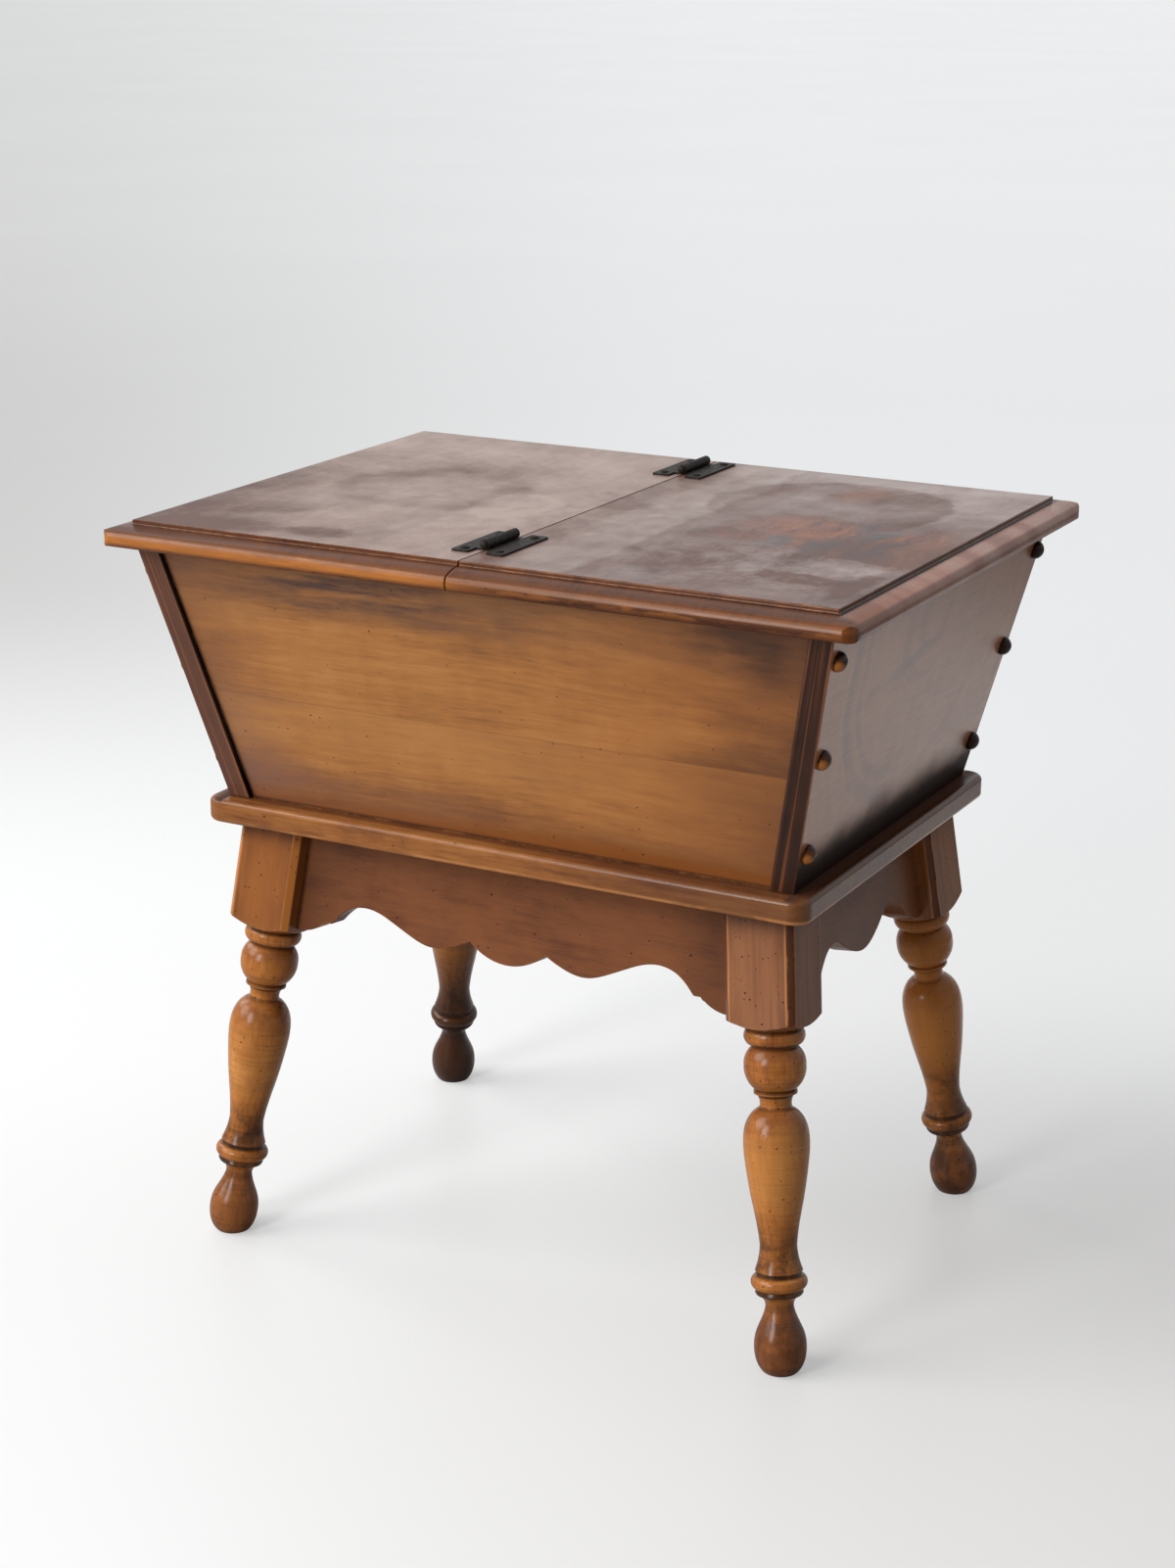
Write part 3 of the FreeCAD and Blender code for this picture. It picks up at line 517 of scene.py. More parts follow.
def panel_margins(net, x, height, above, from_left, ragged, soft):
    """Stain that deepens towards the panel's edges, with painted shade and reflection along its bottom and
    left edge.
    """
    net.lay(net.fade(ragged, 0.260, 0.060, 0.0, 0.30), honey_red)
    # Painted shade along the bottom, against the platform, and a greyish painted reflection at its left
    # end.
    low = net.fade(net.plus(height, net.times(soft, 0.5)), 0.060, -0.010, 0.0, 0.62)
    net.lay(net.most(net.fade(ragged, 0.100, -0.040, 0.0, 0.70), low), honey_dark)
    net.lay(net.times(low, net.fade(x, 0.05, -0.08), 0.60), veil)
    # Darker and greyer towards the left edge: glaze, with painted shade and a greyish painted reflection
    # beside the left end board.
    left = net.fade(net.plus(from_left, soft), 0.100, -0.030, 0.0, 0.64)
    net.lay(left, net.mix(net.fade(height, 0.16, 0.04, 0.35, 1.0), russet, veil))
    net.lay(net.times(net.fade(ragged, 0.150, 0.000), net.fade(height, 0.110, 0.085), 0.36), honey_dark)
    net.lay(net.times(net.fade(ragged, 0.190, 0.020), net.fade(above, 0.100, 0.030), 0.55), honey_dark)
    # A thin orange painted reflection of the platform along the bottom.
    net.lay(net.fade(net.plus(height, net.times(soft, 0.2)), 0.016, 0.002, 0.0, 0.60), ember)


def panel_smoke(net, where, x, height, above, from_right, ragged, soft):
    """A smoky band under the lid, and darker patches to its right and above the joint."""
    smoke = net.streaks(where, 11.0, 75.0, detail=5.0, roughness=0.65)
    band = net.times(
        net.fade(net.plus(above, net.times(soft, 0.30)), 0.060, 0.024, 0.0, 0.78),
        net.fade(above, -0.004, 0.012, 0.35, 1.0),
        net.fade(x, 0.16, 0.04, 0.45, 1.0),
        net.slope(smoke, 0.62, 0.40, 0.35, 1.0),
        net.fade(net.abs(net.plus(x, 0.11)), 0.05, 0.12, 1.25, 0.66),
    )
    beside = net.times(
        net.fade(ragged, 0.135, 0.045),
        net.fade(height, panel_joint - 0.001, panel_joint + 0.001),
        net.fade(net.plus(height, net.times(soft, 0.6)), 0.150, 0.106),
    )
    corner = net.times(
        net.fade(ragged, 0.110, 0.050),
        net.fade(from_right, 0.006, 0.030, 0.35, 1.0),
        net.fade(net.plus(above, net.times(soft, 0.4)), 0.068, 0.030),
        net.fade(above, 0.000, 0.020, 0.45, 1.0),
    )
    net.lay(band, smoke_brown)
    patch = net.most(net.times(beside, 0.58), corner)
    net.lay(net.times(patch, net.slope(smoke, 0.66, 0.40, 0.45, 0.85)), umber)


def front_panel(name, wear=0.0):
    """The front board: honey in the middle, stained darker towards its margins by hand, with painted shade
    and reflection along its bottom and left edge.
    """
    net = Finish(name)
    where = net.grain()
    place = net.place()
    x, _, z = net.split(place)
    height = net.minus(z, panel_low.z)
    above = net.minus(panel_high.z - panel_low.z, height)
    shift, mark = glued(net, height, (panel_joint,))
    strip = net.vector("ADD", where, net.join(shift, shift, 0.0))
    fibres = maple(net, strip, honey_light, honey, honey_dark, streak=0.56, rings=0.06, blotch=0.50)
    lower_glow = net.fade(height, 0.036, 0.075, 0.13, 0.48)
    net.lay(net.mix_values(net.below(height, panel_joint), 0.24, lower_glow), honey_light)
    half = net.line(height, panel_splay_x, box_foot_x - board_thickness - 0.0005)
    from_left = net.plus(half, x)
    from_right = net.minus(half, x)
    soft = net.swing(net.streaks(where, 6.0, 26.0, detail=5.0, roughness=0.62), 0.16)
    ragged = net.plus(from_right, soft)
    panel_margins(net, x, height, above, from_left, ragged, soft)
    panel_smoke(net, where, x, height, above, from_right, ragged, soft)
    # Thin dark lines: painted shade in the corners against the end boards and the platform, and a dark
    # line on the joint.
    darkened = net.most(
        net.fade(from_left, 0.0042, 0.0012, 0.0, 0.85),
        net.fade(from_right, 0.0016, 0.0004, 0.0, 0.60),
        net.fade(height, 0.0040, 0.0010, 0.0, 0.75),
        net.times(mark, 0.30),
    )
    net.lay(darkened, umber)
    specked(net, place, spacing=0.009, largest=0.0010)
    worn_edge(net, where, wear)
    return lacquer(net, where, fibres, dull=0.30, gloss=0.35)


class Stain:
    """Marks on the lid, placed by its plan. Their edges wander."""

    def __init__(self, net, flat):
        self.net = net
        self.flat = net.warped(net.warped(flat, 11.0, 0.050), 60.0, 0.010)

    def away(self, x, y, factors=(1.0, 1.0, 1.0)):
        offset = self.net.vector("SUBTRACT", self.flat, (x, y, 0.0))
        return self.net.length(self.net.scaled(offset, factors))

    def blot(self, x, y, reach, soft, wide=1.0, tall=1.0):
        """Full inside an oval and gone outside it, over the soft distance."""
        away = self.away(x, y, (1.0 / wide, 1.0 / tall, 0.0))
        return self.net.fade(away, reach + soft / 2, reach - soft / 2)

    def ring(self, x, y, reach, width, soft):
        """A band inside a circle, darkest at the circle."""
        away = self.away(x, y)
        inside = self.net.fade(away, reach + soft / 2, reach - soft / 2)
        return self.net.times(inside, self.net.fade(away, reach - width, reach))


def lid_bloom(net, x, y):
    """How much of the lid's polish has gone milky, by its plan."""
    flat = net.join(x, y, 0.0)
    stain = Stain(net, flat)
    clouds = net.noise(stain.flat, scale=13.0, detail=6.0, roughness=0.62)
    wisps = net.noise(net.scaled(flat, (50.0, 9.0, 1.0)), detail=5.0, roughness=0.65)
    mottle = net.noise(stain.flat, scale=55.0, detail=6.0, roughness=0.75)
    bloomed = net.line(net.above(x, seam_x), -0.41, 0.69)
    bloomed = net.plus(bloomed, net.swing(clouds, 1.25), net.swing(wisps, 0.50), net.swing(mottle, 0.70))
    for *oval, amount in lid_stains:
        bloomed = net.line(stain.blot(*oval), amount, bloomed)
    bloomed = net.line(stain.ring(*cup_ring), -0.28, bloomed)
    # A pale band beside the seam, from front to back.
    band = net.between(net.split(stain.flat)[0], 0.020, 0.040, 0.084, 0.094)
    bloomed = net.line(band, 0.34, bloomed)
    bloomed = net.plus(bloomed, net.times(stain.blot(*uneasy_oval), net.swing(mottle, 1.1)))
    patchy = net.fade(clouds, 0.36, 0.60, 0.45, 1.0)
    rim = net.times(stain.ring(*pot_ring), net.fade(y, 0.000, 0.050), patchy)
    bloomed = net.line(rim, -0.40, bloomed)
    return stain, net.math("ADD", bloomed, 0.0, clamp=True)


def rubbed_zone(net, stain):
    """Rubbed through in streaks: brown wood, slate-grey, near black and a little orange."""
    streaks = net.noise(net.scaled(stain.flat, (105.0, 17.0, 1.0)), detail=6.0, roughness=0.74)
    tints = net.noise(net.scaled(stain.flat, (42.0, 13.0, 1.0)), detail=5.0, roughness=0.66)
    rubbed = stain.blot(*rubbed_oval)
    net.lay(net.times(rubbed, net.slope(tints, 0.60, 0.40, 0.15, 0.75)), slate)
    bared = net.times(net.most(stain.blot(*bared_oval), stain.blot(*bared_edge_oval)), 0.70)
    bared = net.most(net.times(rubbed, net.slope(tints, 0.46, 0.60, 0.0, 0.75)), bared)
    net.lay(net.times(bared, net.slope(streaks, 0.30, 0.56, 0.45, 1.0)), brick)
    net.lay(net.times(bared, net.slope(streaks, 0.50, 0.66, 0.0, 0.46)), worn)
    net.lay(net.times(rubbed, net.slope(streaks, 0.46, 0.34, 0.0, 0.80)), rosewood_dark)
    net.lay(net.times(stain.blot(*dark_oval), 0.50), rosewood_dark)
    net.lay(net.times(stain.blot(*smear_oval), 0.45), russet_light)


def lid_field(name):
    """The lid's top: glued boards from front to back, bloomed, stained by water and rubbed through."""
    net = Finish(name)
    place = net.place()
    x, y, _ = net.split(place)
    shift, mark = glued(net, x, lid_joints)
    strip = net.vector("ADD", net.grain(), net.join(shift, 0.0, shift))
    fibres = maple(net, strip, rosewood, rosewood, rosewood_dark, streak=0.5, rings=0.10, blotch=0.5)
    stain, bloomed = lid_bloom(net, x, y)
    milky = net.mix(net.fade(x, -0.05, 0.15), bloom, bloom_cool)
    milky = net.mix(net.times(net.fade(x, 0.05, 0.25), net.fade(y, 0.08, 0.20)), milky, bloom_pale)
    net.lay(net.times(bloomed, 0.92), milky)
    rubbed_zone(net, stain)
    net.lay(net.times(mark, 0.40), umber)
    specked(net, place, spacing=0.018)
    return net.done(net.slope(bloomed, 0.0, 1.0, 0.46, 0.30), Normal=net.relief(fibres))


def nose_sides(net, place, x, y, height, side_gap):
    """The ends of the lid: brown bands across the nose, and paler ones."""
    cross = net.noise(net.scaled(place, (2.0, 17.0, 2.0)), detail=5.0, roughness=0.6)
    side = net.times(
        net.fade(side_gap, 0.0, -0.003),
        net.fade(height, 0.000, 0.003),
        net.fade(y, -0.246, -0.232),
        net.slope(y, -0.23, -0.10, 0.55, 1.0),
        net.fade(x, -0.10, 0.10, 0.45, 1.0),
    )
    net.lay(net.times(side, 0.80), nose_pale)
    net.lay(net.times(side, net.slope(cross, 0.48, 0.62, 0.0, 0.36)), russet_dark)
    net.lay(net.times(side, net.slope(cross, 0.56, 0.38, 0.0, 0.50)), bloom)


def lid_nose(name, wear=0.0):
    """The lid's step and nose: a painted orange highlight on the left; dark with glaze on the right, with
    painted shade in the step.
    """
    net = Finish(name)
    place = net.place()
    x, y, z = net.split(place)
    fibres = maple(net, net.grain(), nose_brown, nose_brown, nose_dark, streak=0.5, rings=0.10, blotch=0.6)
    side_gap = net.minus(lid_right_high.x - moulding_run, net.abs(x))
    front_gap = net.minus(lid_high.y - moulding_run, net.abs(y))
    gap = net.least(side_gap, front_gap)
    uneven = net.noise(net.scaled(place, (26.0, 26.0, 140.0)), detail=5.0, roughness=0.65)
    net.lay(net.slope(uneven, 0.34, 0.60, 0.50, 0.0), nose_dark)
    # The round of the nose: a painted orange highlight on the left, glazed in patches on the right.
    height = net.plus(net.minus(z, lid_low.z), net.swing(uneven, 0.005))
    band = net.times(net.between(height, 0.000, 0.0045, 0.0070, 0.0150), net.fade(gap, -0.012, -0.016))
    rubbed = net.times(net.fade(x, 0.02, -0.04, 0.32, 0.71), net.slope(uneven, 0.62, 0.40, 0.65, 1.0))
    net.lay(net.times(band, rubbed), nose_orange)
    net.lay(net.times(net.rest(band), net.fade(x, -0.16, -0.30, 0.0, 0.32)), smoke_brown)
    glazed = net.times(net.fade(height, 0.0110, 0.0050), net.fade(x, 0.00, 0.06))
    net.lay(net.times(glazed, net.slope(uneven, 0.42, 0.52, 0.20, 0.90)), nose_dark)
    cap = net.times(net.fade(x, 0.322, 0.330), net.fade(y, -0.244, -0.250), net.fade(uneven, 0.40, 0.56))
    net.lay(net.times(cap, 0.5), ember)
    nose_sides(net, place, x, y, height, side_gap)
    # Painted shade in the step between the nose and the lid's top, deepest on the right.
    step = net.between(gap, -0.0004, -0.0016, -0.0030, -0.0052)
    net.lay(net.times(step, net.fade(x, 0.10, 0.25, 0.45, 0.90)), near_black)
    specked(net, place, spacing=0.012)
    worn_edge(net, place, wear)
    roughness = net.slope(uneven, 0.3, 0.7, 0.24, 0.34)
    return net.done(roughness, Normal=net.relief(fibres), Specular_IOR_Level=0.23)


def platform_wood(name, wear=0.0):
    """Honey, mottled and darker towards the right, with painted shade round the foot of the box."""
    net = Finish(name)
    where = net.grain()
    place = net.place()
    x, y, z = net.split(place)
    fibres = maple(net, where, honey_light, honey, honey_dark, streak=0.55, rings=0.12, blotch=0.95)
    net.lay(0.35, russet)
    smears = net.streaks(where, 14.0, 90.0, detail=4.0, roughness=0.65)
    net.lay(net.slope(smears, 0.50, 0.66, 0.0, 0.42), russet_dark)
    # Painted shade on the top round the foot of the box, deepest beside the end boards, where the finish
    # is also rougher.
    top = net.fade(z, platform_high.z - 0.003, platform_high.z - 0.0005)
    beside = net.minus(net.abs(x), box_foot_x)
    corner_shade = net.times(top, net.between(beside, 0.015, 0.002, 0.000, -0.004))
    net.lay(net.times(corner_shade, 0.80), near_black)
    before = net.minus(net.abs(y), box_foot_y)
    net.lay(net.times(top, net.fade(before, 0.006, 0.001, 0.0, 0.55)), russet_dark)
    drift = net.swing(net.noise(where, scale=8.0), 0.25)
    net.lay(net.fade(net.plus(x, drift), 0.00, 0.18, 0.0, 0.62), russet_dark)
    rim = net.fade(z, platform_low.z + 0.0050, platform_low.z + 0.0028)
    broken = net.fade(net.noise(where, scale=26.0), 0.40, 0.58, 0.25, 0.85)
    net.lay(net.times(rim, broken), worn)
    specked(net, place)
    worn_edge(net, where, wear)
    roughness = net.line(corner_shade, 0.45, 0.24)
    return net.done(roughness, Normal=net.relief(fibres), Specular_IOR_Level=0.26)


def apron_wood(name, wear=0.0):
    """Redder, with painted shade beside the posts, under the platform and on the right apron."""
    net = Finish(name)
    where = net.grain()
    place = net.place()
    x, _, z = net.split(place)
    along = net.split(where)[0]
    fibres = maple(net, where, russet_light, russet, russet_dark, streak=0.26, rings=0.05, blotch=0.80)
    net.lay(0.15, veil)
    # Painted shade beside the posts and under the platform, and on the right apron, which faces away from
    # the light.
    ends = net.fade(net.abs(along), 0.140, 0.200, 0.0, 0.34)
    top = net.fade(z, platform_low.z - 0.014, platform_low.z, 0.0, 0.65)
    net.lay(net.most(ends, top), umber)
    net.lay(net.fade(x, 0.270, 0.285, 0.0, 0.40), near_black)
    specked(net, place, spacing=0.009)
    worn_edge(net, where, wear)
    return lacquer(net, where, fibres, dull=0.32, gloss=0.11)


def leg_turnings(net, where, share, x, uneven):
    """The turned part: fine rings, a pale belly, glaze in its grooves, and darker over the ball and on the
    vase's shoulder.
    """
    turned = net.streaks(where, 620.0, 18.0, roughness=0.65)
    below_post = net.fade(share, 0.262, 0.272)
    net.lay(net.times(below_post, net.slope(turned, 0.44, 0.64, 0.0, 0.28)), umber)
    belly = net.between(share, 0.43, 0.52, 0.60, 0.70)
    net.lay(net.times(belly, net.fade(x, -0.1, 0.1, 0.15, 0.45)), leg_light)
    neck = net.between(share, 0.66, 0.75, 0.77, 0.80)
    net.lay(net.times(neck, net.fade(uneven, 0.40, 0.62, 0.15, 0.75)), umber)
    glaze = 0.0
    for middle, reach, amount in leg_grooves:
        glaze = net.most(net.near(share, middle, reach, reach * 0.25, amount), glaze)
    net.lay(net.times(glaze, net.fade(uneven, 0.25, 0.60, 0.60, 1.0)), near_black)
    over_ball = net.times(net.between(share, 0.300, 0.312, 0.385, 0.398), net.fade(share, 0.352, 0.318))
    shoulder = net.between(share, 0.430, 0.445, 0.455, 0.530)
    shaded = net.times(net.most(shoulder, over_ball), net.slope(uneven, 0.35, 0.60, 0.30, 0.75))
    net.lay(shaded, leg_dark)
    return below_post


def leg_feet(net, where, share, x, y, uneven, below_post):
    """The bulb feet, redder and stained; painted shade down the rear left leg, and a redder, blotched rear
    right leg.
    """
    on_right = net.fade(x, -0.1, 0.1)
    mottled = net.noise(where, scale=38.0, detail=4.0, roughness=0.7)
    foot = net.fade(share, 0.840, 0.900, 0.0, 0.60)
    net.lay(foot, russet)
    patchy = net.times(net.fade(y, 0.1, -0.1, 0.8, 1.0), net.fade(uneven, 0.35, 0.60, 0.30, 1.0))
    net.lay(net.times(foot, on_right, patchy), russet_dark)
    net.lay(net.times(foot, net.slope(mottled, 0.46, 0.62, 0.0, 0.62)), near_black)
    # Painted shade down the rear left leg, most at its foot, under the chest.
    rear_left = net.times(net.fade(x, 0.0, -0.05), net.fade(y, 0.0, 0.05))
    net.lay(net.times(rear_left, net.fade(share, 0.55, 0.80, 0.35, 0.86)), walnut_dark)
    rear_right = net.times(below_post, on_right, net.fade(y, -0.1, 0.1))
    net.lay(net.times(rear_right, net.fade(share, 0.80, 0.72), 0.42), nose_orange)
    blotches = net.times(net.fade(share, 0.58, 0.74), net.slope(mottled, 0.44, 0.62, 0.12, 0.62))
    net.lay(net.times(rear_right, blotches), umber)


def leg_posts(net, where, share, x, y, smoky):
    """The square posts, with chamfers paler on the left; on the right, darker chamfers, painted shade on
    their outward faces and a pale line along an edge.
    """
    post = net.fade(share, 0.272, 0.255)
    net.lay(net.times(post, 0.55), leg_middle)
    net.lay(net.times(post, net.fade(x, 0.10, -0.10, 0.05, 0.52)), russet)
    greyed = net.times(net.fade(x, -0.10, 0.10, 0.0, 0.58), net.fade(y, 0.10, -0.10, 0.40, 1.0))
    net.lay(net.times(post, greyed), veil)
    thin = net.slope(net.streaks(where, 8.0, 300.0), 0.52, 0.68, 0.0, 0.36)
    net.lay(net.times(post, net.fade(x, -0.05, 0.05), thin), russet_dark)
    # The timbers of the four legs lie whole metres apart, so rounding gives the place in each section.
    across, deep = (net.minus(value, net.math("ROUND", value)) for value in tuple(net.split(where))[1:])
    corner = net.least(net.abs(across), net.abs(deep))
    darkened = net.times(net.fade(corner, 0.008, 0.026, 0.10, 0.60), net.slope(smoky, 0.62, 0.36))
    net.lay(net.times(post, darkened), russet_dark)
    chamfer = net.times(post, net.fade(corner, 0.0250, 0.0264))
    net.lay(net.times(chamfer, net.fade(x, 0.02, -0.02, 0.0, 0.75)), nose_orange)
    net.lay(net.times(chamfer, net.fade(x, -0.02, 0.02, 0.0, 0.80)), russet_dark)
    # Painted shade on the outward faces of the right posts, which also carry less of the coat.
    outer_shade = net.times(post, net.fade(across, 0.0285, 0.0300), net.fade(x, 0.0, 0.10))
    net.lay(net.times(outer_shade, 0.18), russet_dark)
    edge = net.times(post, net.between(corner, 0.0238, 0.0248, 0.0254, 0.0264))
    net.lay(net.times(edge, net.fade(x, -0.05, 0.05, 0.15, 0.60)), worn)
    return outer_shade


def leg_wood(name, wear=0.0):
    """Along the leg, x is the distance from the platform down its axis."""
    net = Finish(name)
    where = net.grain()
    fibres = maple(net, where, leg_light, leg_middle, leg_dark, streak=0.45, rings=0.10, blotch=0.75)
    x, y, z = net.split(net.place())
    share = net.ratio(net.split(where)[0], leg_length)
    uneven = net.noise(where, scale=60.0, roughness=0.6)
    smoky = net.streaks(where, 9.0, 60.0, detail=4.0, roughness=0.65)
    below_post = leg_turnings(net, where, share, x, uneven)
    leg_feet(net, where, share, x, y, uneven, below_post)
    outer_shade = leg_posts(net, where, share, x, y, smoky)
    # Painted shade at the top of the legs, under the platform.
    under = net.plus(z, net.swing(smoky, 0.030))
    net.lay(net.fade(under, platform_low.z - 0.026, platform_low.z, 0.0, 0.75), umber)
    specked(net, where, spacing=0.0049, largest=0.0010)
    worn_edge(net, where, wear)
    coat = {"Coat_Weight": net.rest(outer_shade, 0.62), "Coat_Roughness": 0.22, "Coat_IOR": 1.28}
    return lacquer(net, where, fibres, dull=0.50, gloss=0.03, **coat)


def button_wood(name):
    """Turned plugs: dark, the rear ones darker, with a painted orange highlight low on the front ones and
    painted shade on their sides turned up and back.
    """
    net = Finish(name)
    place = net.place()
    fibres = maple(net, place, russet_light, walnut_light, walnut_dark, streak=0.4, rings=0.1, blotch=0.9)
    # A painted highlight where the surface faces down and forward, and painted shade where it turns away.
    low = net.dot(net.add("ShaderNodeTexCoord").outputs["Normal"], (0.45, -0.75, -0.48))
    front = net.fade(net.split(place)[1], 0.05, -0.10)
    net.lay(net.times(net.fade(low, 0.66, 0.95), front, 0.70), nose_orange)
    net.lay(net.line(front, -0.75, 0.75), near_black)
    net.lay(net.fade(low, 0.60, 0.20, 0.0, 0.60), near_black)
    return lacquer(net, place, fibres, dull=0.26, gloss=0.16)


def bare_wood(name):
    """Unstained pine, for the blocks and braces."""
    net = Finish(name)
    place = net.place()
    fibres = maple(net, place, bare_pine, bare_pine, bare_pine_dark, streak=0.6, rings=0.5, blotch=0.3)
    return lacquer(net, place, fibres, dull=0.60, gloss=0.3)


def iron(name):
    """Black japanned iron, pitted and a little rubbed."""
    net = Finish(name)
    place = net.place()
    pits = net.noise(place, scale=420.0, detail=4.0, roughness=0.6)
    rubbed = net.fade(net.noise(place, scale=130.0), 0.52, 0.72, 0.0, 0.5)
    net.colour = net.mix(rubbed, black_iron, rubbed_iron)
    roughness = net.fade(pits, 0.3, 0.7, 0.40, 0.62)
    return net.done(roughness, Normal=net.relief(pits, 0.00015, 0.7), Specular_IOR_Level=0.12)


def steel(name):
    """Zinc-plated steel, for the hidden screws and bolts."""
    net = Finish(name)
    brushed = net.noise(net.place(), scale=500.0)
    net.colour = net.mix(net.fade(brushed, 0.3, 0.7, 0.0, 0.4), zinc, zinc_dark)
    return net.done(net.fade(brushed, 0.3, 0.7, 0.28, 0.45), Metallic=1.0)


def new_object(name, data):
    thing = bpy.data.objects.new(name, data)
    bpy.context.scene.collection.objects.link(thing)
    return thing


def sharp_chains(mesh, angle, least):
    """Sharp edges of a mesh, in chains of touching edges that are at least so long in all."""
    left = {edge for edge in mesh.edges if len(edge.link_faces) == 2 and edge.calc_face_angle(0.0) > angle}
    chosen = []
    while left:
        chain = [left.pop()]
        for edge in chain:
            for corner in edge.verts:
                for other in corner.link_edges:
                    if other in left:
                        left.remove(other)
                        chain.append(other)
        if sum(edge.calc_length() for edge in chain) >= least:
            chosen += chain
    return chosen


def store_grain(mesh, along, across, origin, shift):
    """Keeps each point's place in the piece's own timber: x runs along the grain."""
    deep = along.cross(across).normalized()
    frame_rows = Matrix((along.normalized(), across.normalized(), deep))
    attribute = mesh.attributes.new("grain", "FLOAT_VECTOR", "POINT")
    for point, item in zip(mesh.vertices, attribute.data):
        item.vector = frame_rows @ (point.co - origin) + shift


def eased(node, width, woods, along, across, origin, shift, body="chest"):
    """The node's shape with its long edges eased, in its own timber, in place of the node."""
    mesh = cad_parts[node].data.copy()
    work = bmesh.new()
    work.from_mesh(mesh)
    bmesh.ops.remove_doubles(work, verts=work.verts, dist=weld_distance)
    bmesh.ops.dissolve_limit(work, angle_limit=flat_angle, verts=work.verts, edges=work.edges)
    weight = work.edges.layers.float.new("bevel_weight_edge")
    for edge in sharp_chains(work, sharp_angle, eased_run):
        edge[weight] = 1.0
    for face in work.faces:
        face.smooth = True
        face.material_index = 0
    for edge in work.edges:
        sharp = len(edge.link_faces) != 2 or edge.calc_face_angle(0.0) > crease_angle
        edge.smooth = edge[weight] > 0 or not sharp
    work.to_mesh(mesh)
    work.free()
    store_grain(mesh, along, across, origin, Vector(shift))
    mesh.materials.clear()
    for wood in woods:
        mesh.materials.append(wood)
    piece = new_object(node + "_dressed", mesh)
    bevel = piece.modifiers.new("eased_edges", "BEVEL")
    bevel.limit_method = "WEIGHT"
    bevel.width = width
    bevel.segments = 3
    bevel.use_clamp_overlap = False
    bevel.material = 1
    normals = piece.modifiers.new("even_normals", "WEIGHTED_NORMAL")
    normals.keep_sharp = True
    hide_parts(node)
    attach(piece, body)
    return piece


along_x = Vector((1, 0, 0))
along_y = Vector((0, 1, 0))
along_z = Vector((0, 0, 1))
# A dressed board's slots: 0 is its plain wood, 1 its eased edges and 2 its other face.
other_face = 2


def make_lid():
    woods = lid_nose("lid_nose"), lid_nose("lid_edge", wear=0.3), lid_field("lid_field")
    origin = Vector((0, 0, lid_high.z))
    for node, body in (("lid_fixed", "chest"), ("lid_hinged", "lid")):
        piece = eased(node, board_edge, woods, along_y, -along_x, origin, (0, 0, 0), body)
        for face in piece.data.polygons:
            if face.normal.z > facing and face.center.z > lid_high.z - top_depth:
                face.material_index = other_face


def make_box():
    panel = front_panel("front_panel"), front_panel("front_panel_edge", wear=0.5)
    side = glazed_box("end_board"), glazed_box("end_board_edge", wear=0.12), end_grain("sawn_end")
    origin = Vector((0, 0, panel_low.z))
    for node, shift in (("box_front_board", (0, 0, 0)), ("box_rear_board", (1.7, 0, 0))):
        eased(node, board_edge, panel, along_x, along_z, origin, shift)
    for node, shift in (("box_left_end", (2.9, 0.1, 0)), ("box_right_end", (4.3, 0.3, 0))):
        piece = eased(node, board_edge, side, along_y, along_z, origin, shift)
        for face in piece.data.polygons:
            if abs(face.normal.y) > facing:
                face.material_index = other_face


def make_stand():
    board = platform_wood("platform_wood"), platform_wood("platform_edge", wear=0.4)
    origin = Vector((0, 0, platform_high.z))
    eased("platform", platform_edge, board, along_x, along_y, origin, (6.1, 0, 0))
    rail = apron_wood("apron_wood"), apron_wood("apron_edge", wear=0.5)
    for node, along, across_shift in (
        ("apron_front", along_x, 0.0),
        ("apron_rear", along_x, 0.5),
        ("apron_left", along_y, 1.1),
        ("apron_right", along_y, 1.6),
    ):
        eased(node, board_edge, rail, along, along_z, origin, (0, across_shift, 0))
    turned = leg_wood("leg_wood"), leg_wood("leg_edge", wear=0.6)
    legs = (("front_left", -1, 1), ("rear_left", -1, -1), ("front_right", 1, 1), ("rear_right", 1, -1))
    for number, (corner, x_sign, y_sign) in enumerate(legs):
        flip = Vector((x_sign, y_sign, 1))
        axis = (leg_foot - leg_top) * flip
        shift = (0, number, number)
        eased("leg_" + corner, post_edge, turned, axis, axis.cross(along_y), leg_top * flip, shift)


def dress(starts, material, leave_out=()):
    """Gives CAD nodes their material, where their shape is right as it is."""
    for name, piece in sorted(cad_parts.items()):
        if name.startswith(starts) and name not in leave_out:
            for index in range(max(1, len(piece.material_slots))):
                if index >= len(piece.material_slots):
                    piece.data.materials.append(material)
                piece.material_slots[index].material = material


def make_fittings():
    fasteners = ("end_screws_left", "end_screws_right", "platform_screws", "brace_screws", "brace_bolts",
                 "lid_block_screws")
    dress("hinge_", iron("hinge_iron"))
    dress("buttons_", button_wood("button_wood"))
    dress("lid_block_", bare_wood("block_wood"), leave_out=fasteners)
    dress("brace_", bare_wood("brace_wood"), leave_out=fasteners)
    dress(fasteners, steel("screw_steel"))


# Across the room from left to right, and towards its far side.
room_right = (0.881, 0.473, 0.0)
room_far = (-0.473, 0.881, 0.0)
# The far side of the room and its right are bright, and the near side is dim.
bright_side = (0.35, 0.937, 0.0)
# This share of the floor's brightness, as the camera sees it, can fall in shadow.
shadow_share = 0.5
floor_level = 0.92
floor_reach = 60.0


